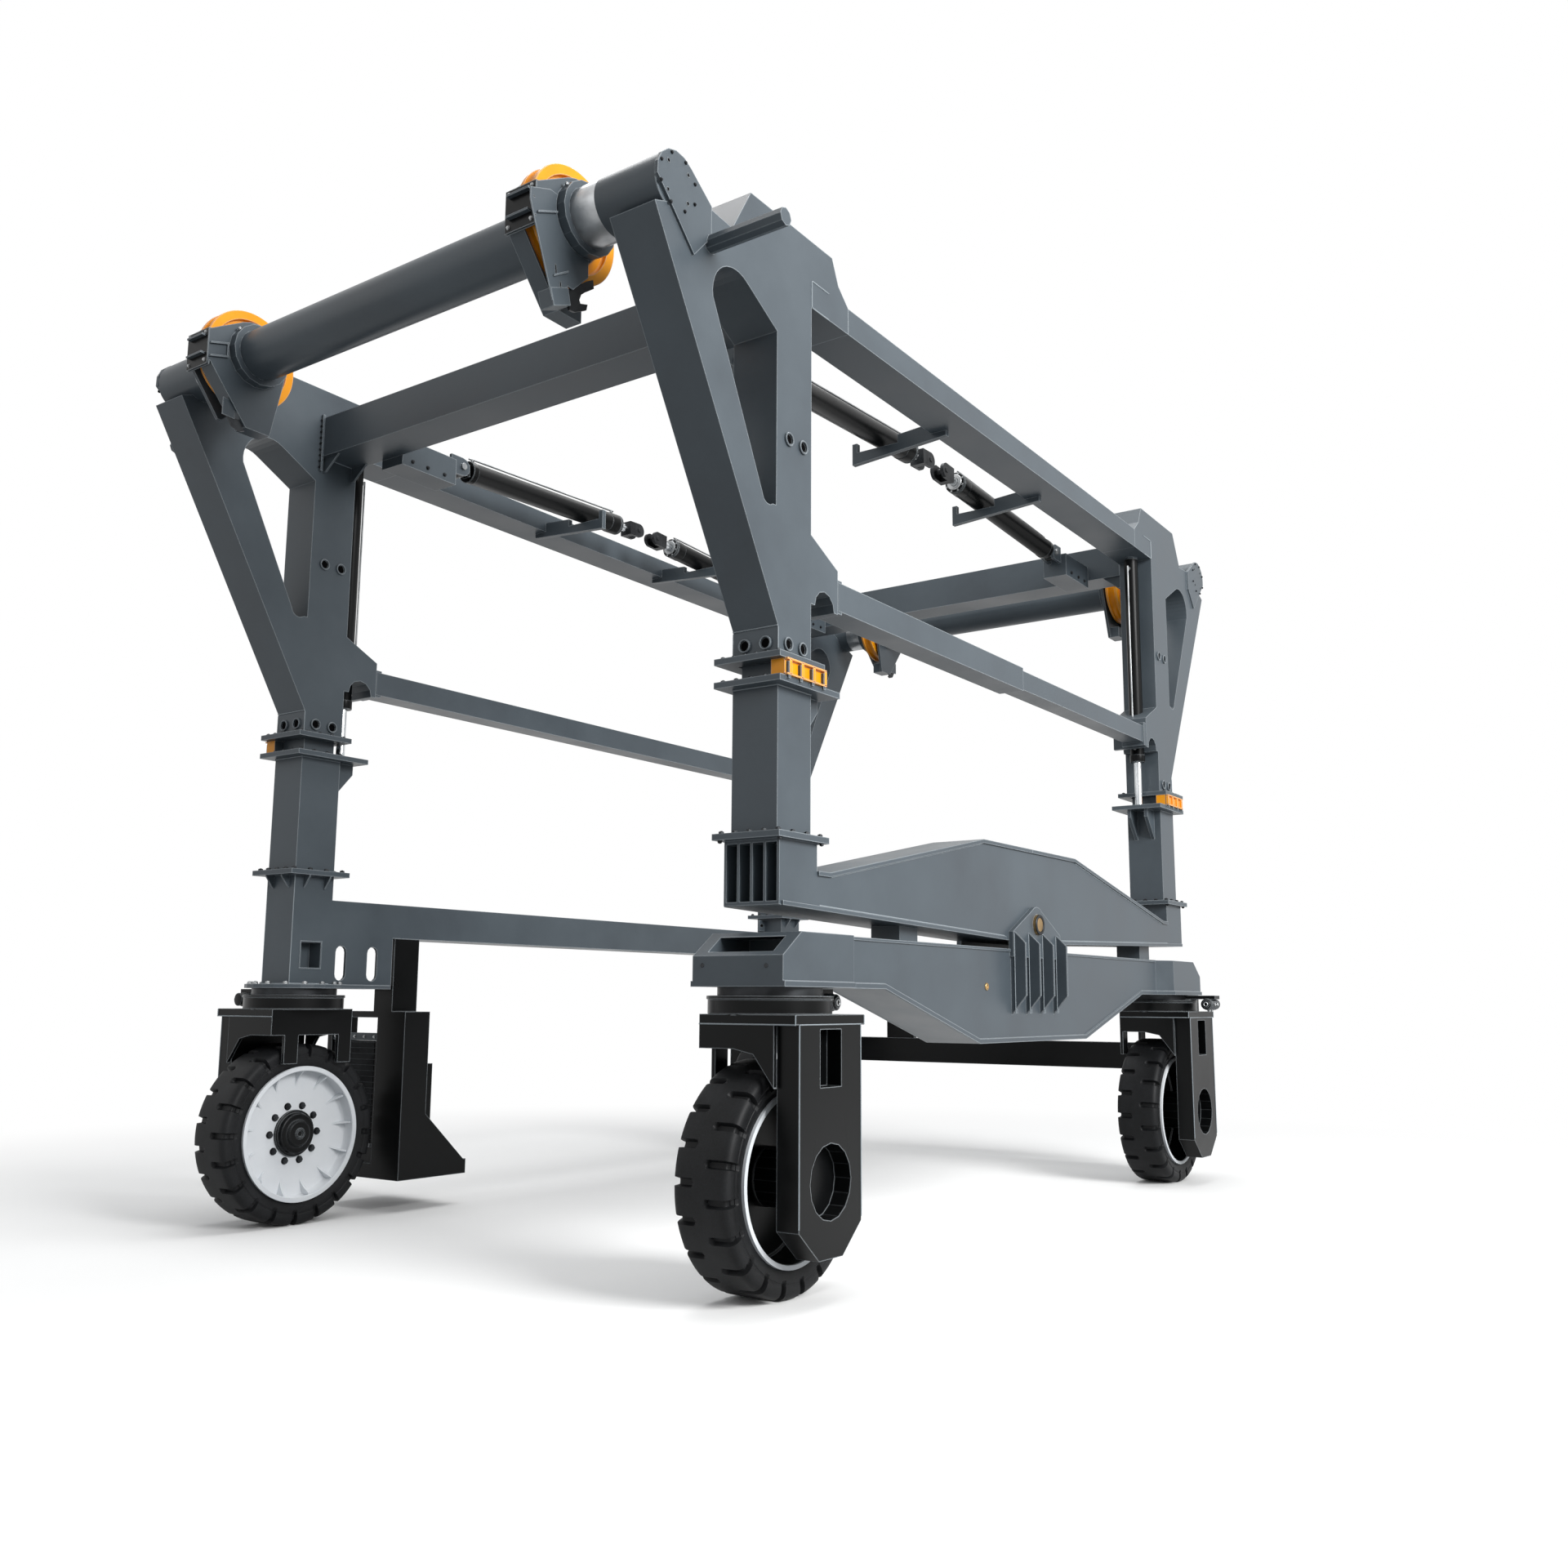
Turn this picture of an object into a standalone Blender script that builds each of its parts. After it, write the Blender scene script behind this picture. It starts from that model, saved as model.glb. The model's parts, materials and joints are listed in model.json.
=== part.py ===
"""Straddle carrier: an open portal on four steered wheels, with a telescoping upper frame.

Metres, +Z up, the machine's right side at +X and its front at -Y.  The origin is on the ground
under the middle of the machine.  Each corner piece is drawn once, in corner axes (out across the
machine, out along the machine, up), and mirrored into its corner.
"""

import math

import bmesh
import bpy

# Plan of the machine
TRACK_HALF = 2.02
BASE_HALF = 2.94

# Wheels
TYRE_RADIUS = 0.60
TYRE_WIDTH = 0.34
TYRE_SECTION = 0.15
RIM_RADIUS = TYRE_RADIUS - TYRE_SECTION
LUG_COUNT = 20
LUG_DEPTH = 0.028
LUG_LENGTH = 0.12
LUG_GROOVE_SHARE = 0.24
SHOULDER = 0.018
RIM_WALL = 0.025
RIM_DISC_DEPTH = 0.095
RIM_DISC_THICKNESS = 0.03
RIM_RIB_COUNT = 13
RIM_RIB_THICKNESS = 0.012
RIM_RIB_REACH = 0.11
HUB_RADIUS = 0.155
HUB_CAP_RADIUS = 0.09
HUB_REACH = 0.055
HUB_CAP_REACH = 0.03
AXLE_RADIUS = 0.075

# Wheel forks and slewing rings
FORK_PLATE_INNER = 0.25
FORK_PLATE_OUTER = 0.385
FORK_PLATE_HALF = 0.29
FORK_PLATE_FOOT_HALF = 0.11
FORK_PLATE_BOTTOM = 0.225
FORK_PLATE_CHAMFER_TOP = 0.38
FORK_HEAD_HALF = 0.325
FORK_HEAD_INNER = 0.22
FORK_HEAD_TOP = 1.435
FORK_HEAD_THICKNESS = 0.05
FORK_SKIRT_BOTTOM = 1.26
FORK_SKIRT_THICKNESS = 0.025
FORK_LEG_BOTTOM = 1.07
FORK_WINDOW_HALF = 0.10
FORK_WINDOW_BOTTOM = 1.07
FORK_WINDOW_TOP = 1.36
FORK_WINDOW_DEPTH = 0.09
FORK_HUB_HOLE_RADIUS = 0.19
FORK_HUB_HOLE_DEPTH = 0.10
SLEW_DRUM_RADIUS = 0.33
SLEW_DRUM_TOP = 1.53
SLEW_RING_RADIUS = 0.28
SLEW_RING_TOP = 1.575
STEER_MOTOR_RADIUS = 0.045
STEER_MOTOR_LENGTH = 0.24
STEER_MOTOR_OFFSET = 0.47
STEER_MOTOR_ARM_WIDTH = 0.12

# Rocker beam, the right side's equalising beam
ROCKER_HALF_WIDTH = 0.185
ROCKER_HEAD_HALF_WIDTH = 0.29
ROCKER_HEAD_SETBACK = 0.38
ROCKER_HEAD_START = BASE_HALF - ROCKER_HEAD_SETBACK
ROCKER_HEAD_TAPER = 0.15
ROCKER_OVERHANG = 0.30
ROCKER_END = BASE_HALF + ROCKER_OVERHANG
ROCKER_TOP = 1.86
ROCKER_END_TOP = 1.735
ROCKER_CHAMFER_LENGTH = 0.17
ROCKER_CHAMFER_START = ROCKER_END - ROCKER_CHAMFER_LENGTH
ROCKER_BELLY_BOTTOM = 1.24
ROCKER_BELLY_HALF = 0.87
ROCKER_SLOPE_SETBACK = 0.88
ROCKER_SLOPE_END = BASE_HALF - ROCKER_SLOPE_SETBACK
ROCKER_FLANGE_STAND = 0.012
ROCKER_FLANGE_HEIGHT = 0.03
ROCKER_MOUTH_HALF = 0.21
ROCKER_MOUTH_BOTTOM = 1.755
ROCKER_MOUTH_TOP = 1.835
ROCKER_MOUTH_DEPTH = 0.40
LUG_PLATE_THICKNESS = 0.035
LUG_BASE_HALF = 0.39
LUG_SHOULDER_Z = 1.98
LUG_TOP_RADIUS = 0.125
LUG_TOP_START_DEGREES = 50.0
FIN_COUNT = 4
FIN_PITCH = 0.228
FIN_MIDDLE_Y = -0.026
FIN_THICKNESS = 0.02
FIN_REACH = 0.11
FIN_TOP = 1.975
FIN_SHOULDER_TOP = 1.90
FIN_SHOULDER_BOTTOM = 1.55
FIN_BOTTOM = 1.42

# Pivot beam above the rocker
PIVOT_HALF_WIDTH = 0.18
PIVOT_BLOCK_HALF = 0.18
PIVOT_END = BASE_HALF + PIVOT_BLOCK_HALF
PIVOT_BLOCK_START = BASE_HALF - PIVOT_BLOCK_HALF
PIVOT_BLOCK_TOP = 2.35
PIVOT_NECK_LENGTH = 0.12
PIVOT_NECK_Y = PIVOT_BLOCK_START - PIVOT_NECK_LENGTH
PIVOT_NECK_TOP = 2.20
PIVOT_PEAK_TOP = 2.57
PIVOT_PEAK_HALF = 0.76
PIVOT_END_BOTTOM = 2.00
PIVOT_MID_BOTTOM = 1.92
PIVOT_MID_HALF = 0.45
PIVOT_BAY_COUNT = 4
PIVOT_BAY_DEPTH = 0.14
PIVOT_BAY_WALL = 0.016
PIVOT_BAY_FLOOR = 0.02
PIN_RADIUS = 0.072
PIN_Z = 2.04
PIN_STAND = 0.018
STOP_HALF_LENGTH = 0.11
STOP_HALF_WIDTH = 0.10

# Left side base
LEFT_BEAM_BOTTOM = 1.945
LEFT_BEAM_TOP = 2.19
LEFT_PLATE_TOP = 1.602
LEFT_PLATE_RADIUS = 0.33
LEFT_PANEL_REACH = 0.71
LEFT_PANEL_THICKNESS = 0.022
SLOT_WIDTH = 0.09
SLOT_BOTTOM = 1.63
SLOT_TOP = 1.875
SLOT_NEAR = 0.255
SLOT_FAR = 0.53
COLUMN_WINDOW_BOTTOM = 1.716
COLUMN_WINDOW_TOP = 1.89
COLUMN_WINDOW_HALF = 0.08
COLUMN_WINDOW_DEPTH = 0.12

# Columns, masts and lift rods
COLUMN_HALF_X = 0.15
COLUMN_HALF_Y = 0.16
FLANGE_HALF_X = 0.22
FLANGE_HALF_Y = 0.24
FLANGE_THICKNESS = 0.035
FOOT_FLANGE_BOTTOM = 2.35
HEAD_FLANGE_TOP = 3.215
STOP_BLOCK_HEIGHT = 0.095
STOP_BLOCK_INNER = 0.125
STOP_BLOCK_OUTER = 0.215
STOP_BLOCK_HALF = 0.19
STOP_BLOCK_RIB = 0.02
STOP_BLOCK_RIBS = 4
MAST_CLEARANCE = 0.015
MAST_TOP = 5.25
SLEEVE_WALL = 0.02
SLEEVE_BORE_TOP = 5.35
ROD_OFFSET = 0.27
ROD_RADIUS = 0.032
ROD_TOP = 5.20
ROD_EAR = 0.35
EAR_GUSSET_DROP = 0.26
EAR_GUSSET_LIP = 0.07
EAR_GUSSET_THICKNESS = 0.03
BARREL_RADIUS = 0.058
BARREL_WALL = 0.02
BARREL_BOTTOM = 3.60

# Leg frames
HEAD_TOP = 5.88
HEAD_FRONT_TOP = 0.445
HEAD_FRONT_FOOT = 0.61
HEAD_FRONT_FOOT_Z = 5.59
HEAD_REAR_TOP = 0.38
HEAD_REAR_KNEE = 0.45
HEAD_REAR_KNEE_Z = 5.73
HEAD_STUB = 0.56
BRACE_FOOT_Z = 3.50
BRACE_TIP = 1.25
BRACE_TIP_Z = 5.43
BRACE_SHOULDER = 0.81
BRACE_SHOULDER_Z = 5.605
ARCH_RADIUS = 0.20
ARCH_CENTRE = 0.572
ARCH_CENTRE_Z = 5.165
ARCH_TIP_RADIUS = 0.06
ARCH_TIP = 0.255
ARCH_TIP_Z = 4.215
ARCH_COLUMN_SIDE = 0.185
ARCH_COLUMN_TOP = 5.18
ARCH_COLUMN_BOTTOM = 4.17
BRACKET_REACH = 0.44
BRACKET_TOP = 3.96
BRACKET_BOTTOM = 3.70
BRACKET_FILLET_TOP = 4.10
BRACKET_ARCH_CENTRE = 0.30
BRACKET_ARCH_RADIUS = 0.10
END_PLATE_THICKNESS = 0.016
END_PLATE_RADIUS = 0.165
END_PLATE_START_DEGREES = -10.0
END_PLATE_END_DEGREES = 130.0
STUB_PIPE_RADIUS = 0.048
STUB_PIPE_LENGTH = 0.48
STUB_PIPE_OUT = 0.80
STUB_PIPE_Z = 5.40

# Upper frame beams
SIDE_BEAM_BOTTOM = 5.47
SIDE_BEAM_TOP = 5.635
CROSS_HALF_DEPTH = 0.15
CROSS_BOTTOM = 5.37
CROSS_TOP = 5.665
MID_BEAM_BOTTOM = 3.725
MID_BEAM_TOP = 3.895
MID_BEAM_WIDTH = 0.19
MID_BEAM_STEP = 0.014
MID_COLLAR_LENGTH = 0.05
MID_COLLAR_STAND = 0.015

# Tubes, carriages and sheaves
TUBE_OUT = 1.09
TUBE_Z = 5.60
TUBE_RADIUS = 0.16
SHEAVE_INSET = 0.60
SHEAVE_X = TRACK_HALF - SHEAVE_INSET
SHEAVE_RADIUS = 0.32
SHEAVE_WIDTH = 0.11
SHEAVE_GROOVE = 0.04
SHEAVE_WEB_HALF = 0.025
SHEAVE_RIM_INNER = 0.26
SHEAVE_HUB_RADIUS = 0.205
CHEEK_THICKNESS = 0.025
CHEEK_GAP = 0.03
CHEEK_RADIUS = 0.23
GUARD_RADIUS = 0.31
CHEEK_START_DEGREES = 60.0
CHEEK_END_DEGREES = 150.0
COLLAR_RADIUS = 0.20
COLLAR_LENGTH = 0.06
COVER_FACE = 0.343
COVER_THICKNESS = 0.016
COVER_TOP = 0.07
COVER_KNEE = -0.12
COVER_WIDE_BOTTOM = -0.17
COVER_FOOT_OUT = 0.03
COVER_FOOT = -0.49
COVER_RIB_REACH = 0.03
COVER_RIB_THICKNESS = 0.012
COVER_RIB_TOP = 0.02
COVER_RIB_BOTTOM = -0.10
BLADE_TIP_OUT = 0.12
BLADE_TIP_DROP = 0.41
CARRIAGE_LEG_DEPTH = 0.16
CARRIAGE_FOOT_HEIGHT = 0.10
CARRIAGE_LEG_SHARE = 0.5

# Hoist cylinders inside the upper frame
HOIST_INSET = 0.57
HOIST_X = TRACK_HALF - HOIST_INSET
HOIST_Z = 5.49
HOIST_TILT_DEGREES = 2.6
HOIST_RADIUS = 0.085
HOIST_ROD_RADIUS = 0.034
HOIST_EYE_OUT = 0.76
HOIST_EYE_RADIUS = 0.07
HOIST_EYE_WIDTH = 0.07
HOIST_PIN_RADIUS = 0.027
HOIST_EAR_THICKNESS = 0.025
HOIST_ROD_LENGTH = 0.12
HOIST_CLEVIS_LENGTH = 0.18
HOIST_MIDDLE_GAP = 0.065
HOIST_HEAD_LENGTH = HOIST_EYE_RADIUS + HOIST_EAR_THICKNESS
HOIST_TAIL_LENGTH = HOIST_ROD_LENGTH + HOIST_CLEVIS_LENGTH + HOIST_MIDDLE_GAP
HOIST_BARREL_LENGTH = BASE_HALF - HOIST_EYE_OUT - HOIST_HEAD_LENGTH - HOIST_TAIL_LENGTH
HOIST_BOX_HALF = 0.11
HOIST_BOX_REACH = 0.65
HOIST_BOX_END = BASE_HALF - HOIST_BOX_REACH
HOIST_BOX_BOTTOM = 5.30
HOIST_BOX_TOP = 5.50
HOIST_CLEVIS_HALF = 0.06
HOIST_CLEVIS_SLOT = 0.03
ARM_Y = 0.78
ARM_THICKNESS = 0.04
ARM_REACH = 0.80
ARM_INNER = TRACK_HALF - ARM_REACH
ARM_ROOT_INSET = 0.03
ARM_ROOT = TRACK_HALF - ARM_ROOT_INSET
ARM_DEPTH = 0.09
ARM_TIP_RISE = 0.07
ARM_STEP_RISE = 0.055
ARM_SHOULDER_INSET = 0.42
ARM_SHOULDER = TRACK_HALF - ARM_SHOULDER_INSET
ARM_SHOULDER_RISE = 0.06
ARM_ROOT_RISE = 0.08

# Rear low beam
LOW_BEAM_OUT = 0.79
LOW_BEAM_Y = BASE_HALF + LOW_BEAM_OUT
LOW_BEAM_HALF = 0.07
LOW_BEAM_BOTTOM = 0.90
LOW_BEAM_TOP = 1.14
LOW_BEAM_OVERHANG = 0.08
LOW_BEAM_REACH = TRACK_HALF + LOW_BEAM_OVERHANG
HANGER_HALF = 0.10
HANGER_THICKNESS = 0.05
HANGER_ARM_BOTTOM = 1.65
BRACKET_X = 1.00
BRACKET_HALF = 0.16
BRACKET_RISE = 0.19

# Power pack hung from the left side
PACK_OUTER_REACH = 0.56
PACK_INNER_REACH = 0.30
PACK_FRONT_SETBACK = 0.73
PACK_REAR_SETBACK = 1.365
PACK_OUTER = TRACK_HALF + PACK_OUTER_REACH
PACK_INNER = TRACK_HALF - PACK_INNER_REACH
PACK_FRONT = BASE_HALF - PACK_FRONT_SETBACK
PACK_REAR = BASE_HALF - PACK_REAR_SETBACK
PACK_TRAY_BOTTOM = 0.225
PACK_TRAY_HEIGHT = 0.105
PACK_FRAME_TOP = 1.415
PACK_FRAME_HEIGHT = 0.045
PACK_POST_WIDTH = 0.30
PACK_POST_DEPTH = 0.23
PACK_POST_FOOT_Z = 0.68
PACK_HANGER_WIDTH = 0.20
RADIATOR_THICKNESS = 0.09
RADIATOR_TOP = 1.20
RADIATOR_SIDE_GAP = 0.02
ENGINE_TOP = 1.02
ENGINE_MARGIN = 0.05

# Fits
FACE_GAP = 0.0003
BEARING_GAP = 0.0005
SHAFT_GAP = 0.0008
OVERRUN = 0.05
WELD = 0.004

ROUND_STEPS = 16
SMALL_STEPS = 8
ARC_STEPS = 6

CORNERS = (
    # name, side across, side along, side of the ring that its steering motor is on
    ("front_right", 1, -1, "middle"),
    ("front_left", -1, -1, "outer"),
    ("rear_right", 1, 1, "outer"),
    ("rear_left", -1, 1, "outer"),
)
SIDES = (("right", 1), ("left", -1))
ENDS = (("front", -1), ("rear", 1))
# Where the stop pads lie along the pivot beam
STOP_FRONT_SETBACK = 1.32
STOP_REAR_SETBACK = 0.54
STOP_CENTRES = (STOP_FRONT_SETBACK - BASE_HALF, BASE_HALF - STOP_REAR_SETBACK)

FINISHES = {
    # name: colour, roughness, metallic
    "steel_paint": ((0.20, 0.23, 0.25), 0.45, 0.0),
    "black_paint": ((0.012, 0.013, 0.014), 0.5, 0.0),
    "yellow_paint": ((0.75, 0.40, 0.03), 0.4, 0.0),
    "white_paint": ((0.75, 0.77, 0.78), 0.4, 0.0),
    "tyre_rubber": ((0.03, 0.03, 0.032), 0.85, 0.0),
    "bronze": ((0.50, 0.36, 0.16), 0.35, 1.0),
}


def clear_scene():
    for old in list(bpy.data.objects):
        bpy.data.objects.remove(old, do_unlink=True)


def finish(name):
    material = bpy.data.materials.get(name)
    if material:
        return material
    colour, roughness, metallic = FINISHES[name]
    material = bpy.data.materials.new(name)
    material.use_nodes = True
    shader = material.node_tree.nodes["Principled BSDF"]
    shader.inputs["Base Color"].default_value = (*colour, 1.0)
    shader.inputs["Roughness"].default_value = roughness
    shader.inputs["Metallic"].default_value = metallic
    return material


# Solids as bmeshes


def prism(outline, axis, low, high):
    """Extrude an outline of (a, b) pairs along axis: X takes (y, z), Y takes (x, z), Z takes (x, y)."""
    place = {
        "X": lambda a, b, t: (t, a, b),
        "Y": lambda a, b, t: (a, t, b),
        "Z": lambda a, b, t: (a, b, t),
    }[axis]
    bm = bmesh.new()
    near = [bm.verts.new(place(a, b, low)) for a, b in outline]
    far = [bm.verts.new(place(a, b, high)) for a, b in outline]
    bm.faces.new(near)
    bm.faces.new(list(reversed(far)))
    for i in range(len(outline)):
        j = (i + 1) % len(outline)
        bm.faces.new((near[j], near[i], far[i], far[j]))
    bmesh.ops.recalc_face_normals(bm, faces=bm.faces)
    return bm


def block(x, y, z):
    """A box from three (low, high) pairs."""
    return prism(((x[0], y[0]), (x[1], y[0]), (x[1], y[1]), (x[0], y[1])), "Z", z[0], z[1])


def arc(centre, radius, start, end, steps=ARC_STEPS):
    """Points on an arc, angles in degrees."""
    points = []
    for i in range(steps + 1):
        angle = math.radians(start + (end - start) * i / steps)
        points.append((centre[0] + radius * math.cos(angle), centre[1] + radius * math.sin(angle)))
    return points


def rod(axis, centre, radius, low, high, steps=ROUND_STEPS):
    """A round bar along axis, its centre given in the plane across it."""
    return prism(arc(centre, radius, 0.0, 360.0, steps)[:-1], axis, low, high)


def revolve(profile, axis, centre, steps=ROUND_STEPS, phase=0.0):
    """Turn a closed loop of (radius, height) pairs about axis; radius 0 lies on the axis.

    phase turns the facets, counted in steps.
    """
    place = {
        "X": lambda r, h, c, s: (h, centre[0] + r * c, centre[1] + r * s),
        "Y": lambda r, h, c, s: (centre[0] + r * c, h, centre[1] + r * s),
        "Z": lambda r, h, c, s: (centre[0] + r * c, centre[1] + r * s, h),
    }[axis]
    bm = bmesh.new()
    rings = []
    for radius, height in profile:
        if radius == 0.0:
            rings.append([bm.verts.new(place(0.0, height, 1.0, 0.0))] * steps)
            continue
        ring = []
        for i in range(steps):
            angle = 2.0 * math.pi * (i + phase) / steps
            ring.append(bm.verts.new(place(radius, height, math.cos(angle), math.sin(angle))))
        rings.append(ring)
    for k in range(len(rings)):
        lower = rings[k]
        upper = rings[(k + 1) % len(rings)]
        for i in range(steps):
            j = (i + 1) % steps
            corners = [lower[i], lower[j], upper[j], upper[i]]
            unique = list(dict.fromkeys(corners))
            if len(unique) > 2:
                bm.faces.new(unique)
    bmesh.ops.recalc_face_normals(bm, faces=bm.faces)
    return bm


def round_bore(radius, gap=SHAFT_GAP, steps=ROUND_STEPS):
    """Radius of a faceted bore whose flats clear a round of this radius as it turns."""
    return (radius + gap) / math.cos(math.pi / steps)


def joined(solids):
    """One bmesh from several that don't overlap."""
    whole = bmesh.new()
    for solid in solids:
        mesh = bpy.data.meshes.new("joined")
        solid.to_mesh(mesh)
        whole.from_mesh(mesh)
        solid.free()
        bpy.data.meshes.remove(mesh)
    return whole


def to_corner(bm, across, along):
    """Mirror a solid from corner axes into its corner."""
    for vert in bm.verts:
        vert.co.x = across * (TRACK_HALF + vert.co.x)
        vert.co.y = along * (BASE_HALF + vert.co.y)
    if across * along < 0:
        bmesh.ops.reverse_faces(bm, faces=bm.faces)
    return bm


def mirrored(bm, across=1, along=1):
    """Mirror a solid across the machine's middle planes."""
    for vert in bm.verts:
        vert.co.x *= across
        vert.co.y *= along
    if across * along < 0:
        bmesh.ops.reverse_faces(bm, faces=bm.faces)
    return bm


# Objects


def mesh_object(name, bm, origin, parent):
    mesh = bpy.data.meshes.new(name)
    for vert in bm.verts:
        vert.co.x -= origin[0]
        vert.co.y -= origin[1]
        vert.co.z -= origin[2]
    bm.to_mesh(mesh)
    bm.free()
    obj = bpy.data.objects.new(name, mesh)
    bpy.context.scene.collection.objects.link(obj)
    attach(obj, origin, parent)
    return obj


def attach(obj, origin, parent):
    """Place obj at a world position under a parent that is placed but not turned."""
    base = parent_position(parent)
    obj.location = [origin[i] - base[i] for i in range(3)]
    obj.parent = parent


def parent_position(parent):
    position = [0.0, 0.0, 0.0]
    while parent:
        position = [position[i] + parent.location[i] for i in range(3)]
        parent = parent.parent
    return position


def pivot(name, origin, parent=None):
    """An empty on a joint's axis."""
    empty = bpy.data.objects.new(name, None)
    bpy.context.scene.collection.objects.link(empty)
    attach(empty, origin, parent)
    return empty


def piece(name, material, solids, cuts=(), origin=(0.0, 0.0, 0.0), parent=None):
    """A sub-part: the first solid, the others welded to it, and the cuts taken out."""
    body = mesh_object(name, solids[0], origin, parent)
    body.data.materials.append(finish(material))
    steps = [("UNION", solid) for solid in solids[1:]] + [("DIFFERENCE", cut) for cut in cuts]
    for number, (operation, solid) in enumerate(steps, 1):
        tool = mesh_object(f"{name}_tool_{number}", solid, origin, parent)
        tool.hide_render = True
        tool.display_type = "WIRE"
        boolean = body.modifiers.new(f"{operation.lower()}_{number}", "BOOLEAN")
        boolean.operation = operation
        boolean.solver = "EXACT"
        boolean.object = tool
    return body


# Wheels


def tyre_solid():
    """A solid tyre about X with side grooves between its lugs, the two rows staggered."""
    half = TYRE_WIDTH / 2
    floor_radius = TYRE_RADIUS - LUG_DEPTH
    bore = round_bore(RIM_RADIUS, FACE_GAP, 3 * LUG_COUNT)
    edge = half - SHOULDER
    row = edge - LUG_LENGTH
    pitch = 2.0 * math.pi / LUG_COUNT
    groove = pitch * LUG_GROOVE_SHARE
    bm = bmesh.new()

    def ring(angle, radius, x):
        return bm.verts.new((x, radius * math.cos(angle), radius * math.sin(angle)))

    stations = []
    for lug in range(LUG_COUNT):
        start = lug * pitch
        for angle in (start, start + groove, start + pitch / 2, start + pitch / 2 + groove):
            stations.append({
                "bore_l": ring(angle, bore, -half), "bore_r": ring(angle, bore, half),
                "side_l": ring(angle, floor_radius, -half), "side_r": ring(angle, floor_radius, half),
                "edge_l": ring(angle, TYRE_RADIUS, -edge), "edge_r": ring(angle, TYRE_RADIUS, edge),
                "row_l": ring(angle, TYRE_RADIUS, -row), "row_r": ring(angle, TYRE_RADIUS, row),
            })
            side = "l" if len(stations) % 4 in (1, 2) else "r"
            x = -row if side == "l" else row
            stations[-1]["floor"] = ring(angle, floor_radius, x)

    count = len(stations)
    for i in range(count):
        a = stations[i]
        b = stations[(i + 1) % count]
        bm.faces.new((a["bore_l"], b["bore_l"], b["bore_r"], a["bore_r"]))
        bm.faces.new((a["row_l"], b["row_l"], b["row_r"], a["row_r"]))
        grooved = {0: "l", 2: "r"}.get(i % 4)
        for side in ("l", "r"):
            bm.faces.new((a["bore_" + side], b["bore_" + side], b["side_" + side], a["side_" + side]))
            if side == grooved:
                bm.faces.new((a["side_" + side], b["side_" + side], b["floor"], a["floor"]))
                bm.faces.new((a["floor"], b["floor"], b["row_" + side], a["row_" + side]))
                for end in (a, b):
                    bm.faces.new((end["side_" + side], end["edge_" + side], end["row_" + side], end["floor"]))
            else:
                bm.faces.new((a["side_" + side], b["side_" + side], b["edge_" + side], a["edge_" + side]))
                bm.faces.new((a["edge_" + side], b["edge_" + side], b["row_" + side], a["row_" + side]))
    bmesh.ops.recalc_face_normals(bm, faces=bm.faces)
    return bm


def rim_solids():
    """The rim about X: barrel, dished disc and hub, with gussets between disc and barrel."""
    half = TYRE_WIDTH / 2
    inside = RIM_RADIUS - RIM_WALL
    disc_inner = -half + RIM_DISC_DEPTH
    disc_outer = disc_inner + RIM_DISC_THICKNESS
    axle_bore = round_bore(AXLE_RADIUS)
    hub_face = disc_inner - HUB_REACH
    bore_end = disc_inner - HUB_REACH / 2
    profile = (
        (RIM_RADIUS, -half), (RIM_RADIUS, half), (inside, half), (inside, disc_outer),
        (HUB_RADIUS, disc_outer), (HUB_RADIUS, disc_outer + HUB_REACH),
        (axle_bore, disc_outer + HUB_REACH), (axle_bore, bore_end), (0.0, bore_end),
        (0.0, hub_face - HUB_CAP_REACH), (HUB_CAP_RADIUS, hub_face - HUB_CAP_REACH),
        (HUB_CAP_RADIUS, hub_face), (HUB_RADIUS, hub_face), (HUB_RADIUS, disc_inner),
        (inside, disc_inner), (inside, -half),
    )
    ribs = []
    for i in range(RIM_RIB_COUNT):
        outline = (
            (inside + WELD, disc_inner + WELD), (inside + WELD, -half + RIM_WALL),
            (inside - RIM_WALL, -half + RIM_WALL), (inside - RIM_RIB_REACH, disc_inner + WELD),
        )
        rib = prism([(h, r) for r, h in outline], "Y", -RIM_RIB_THICKNESS / 2, RIM_RIB_THICKNESS / 2)
        angle = 2.0 * math.pi * i / RIM_RIB_COUNT
        for vert in rib.verts:
            y, z = vert.co.y, vert.co.z
            vert.co.y = y * math.cos(angle) + z * math.sin(angle)
            vert.co.z = z * math.cos(angle) - y * math.sin(angle)
        ribs.append(rib)
    return [revolve(profile, "X", (0.0, 0.0)), joined(ribs)]


def build_wheel(name, across, along, steering):
    centre = (across * TRACK_HALF, along * BASE_HALF, TYRE_RADIUS)
    rolling = pivot(f"wheel_{name}_axis", centre, steering)
    tyre = tyre_solid()
    rim = rim_solids()
    for solid in [tyre] + rim:
        for vert in solid.verts:
            vert.co.z += TYRE_RADIUS
        to_corner(solid, across, along)
    piece(f"tyre_{name}", "tyre_rubber", [tyre], origin=centre, parent=rolling)
    piece(f"rim_{name}", "white_paint", rim, origin=centre, parent=rolling)


# Wheel forks


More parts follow.
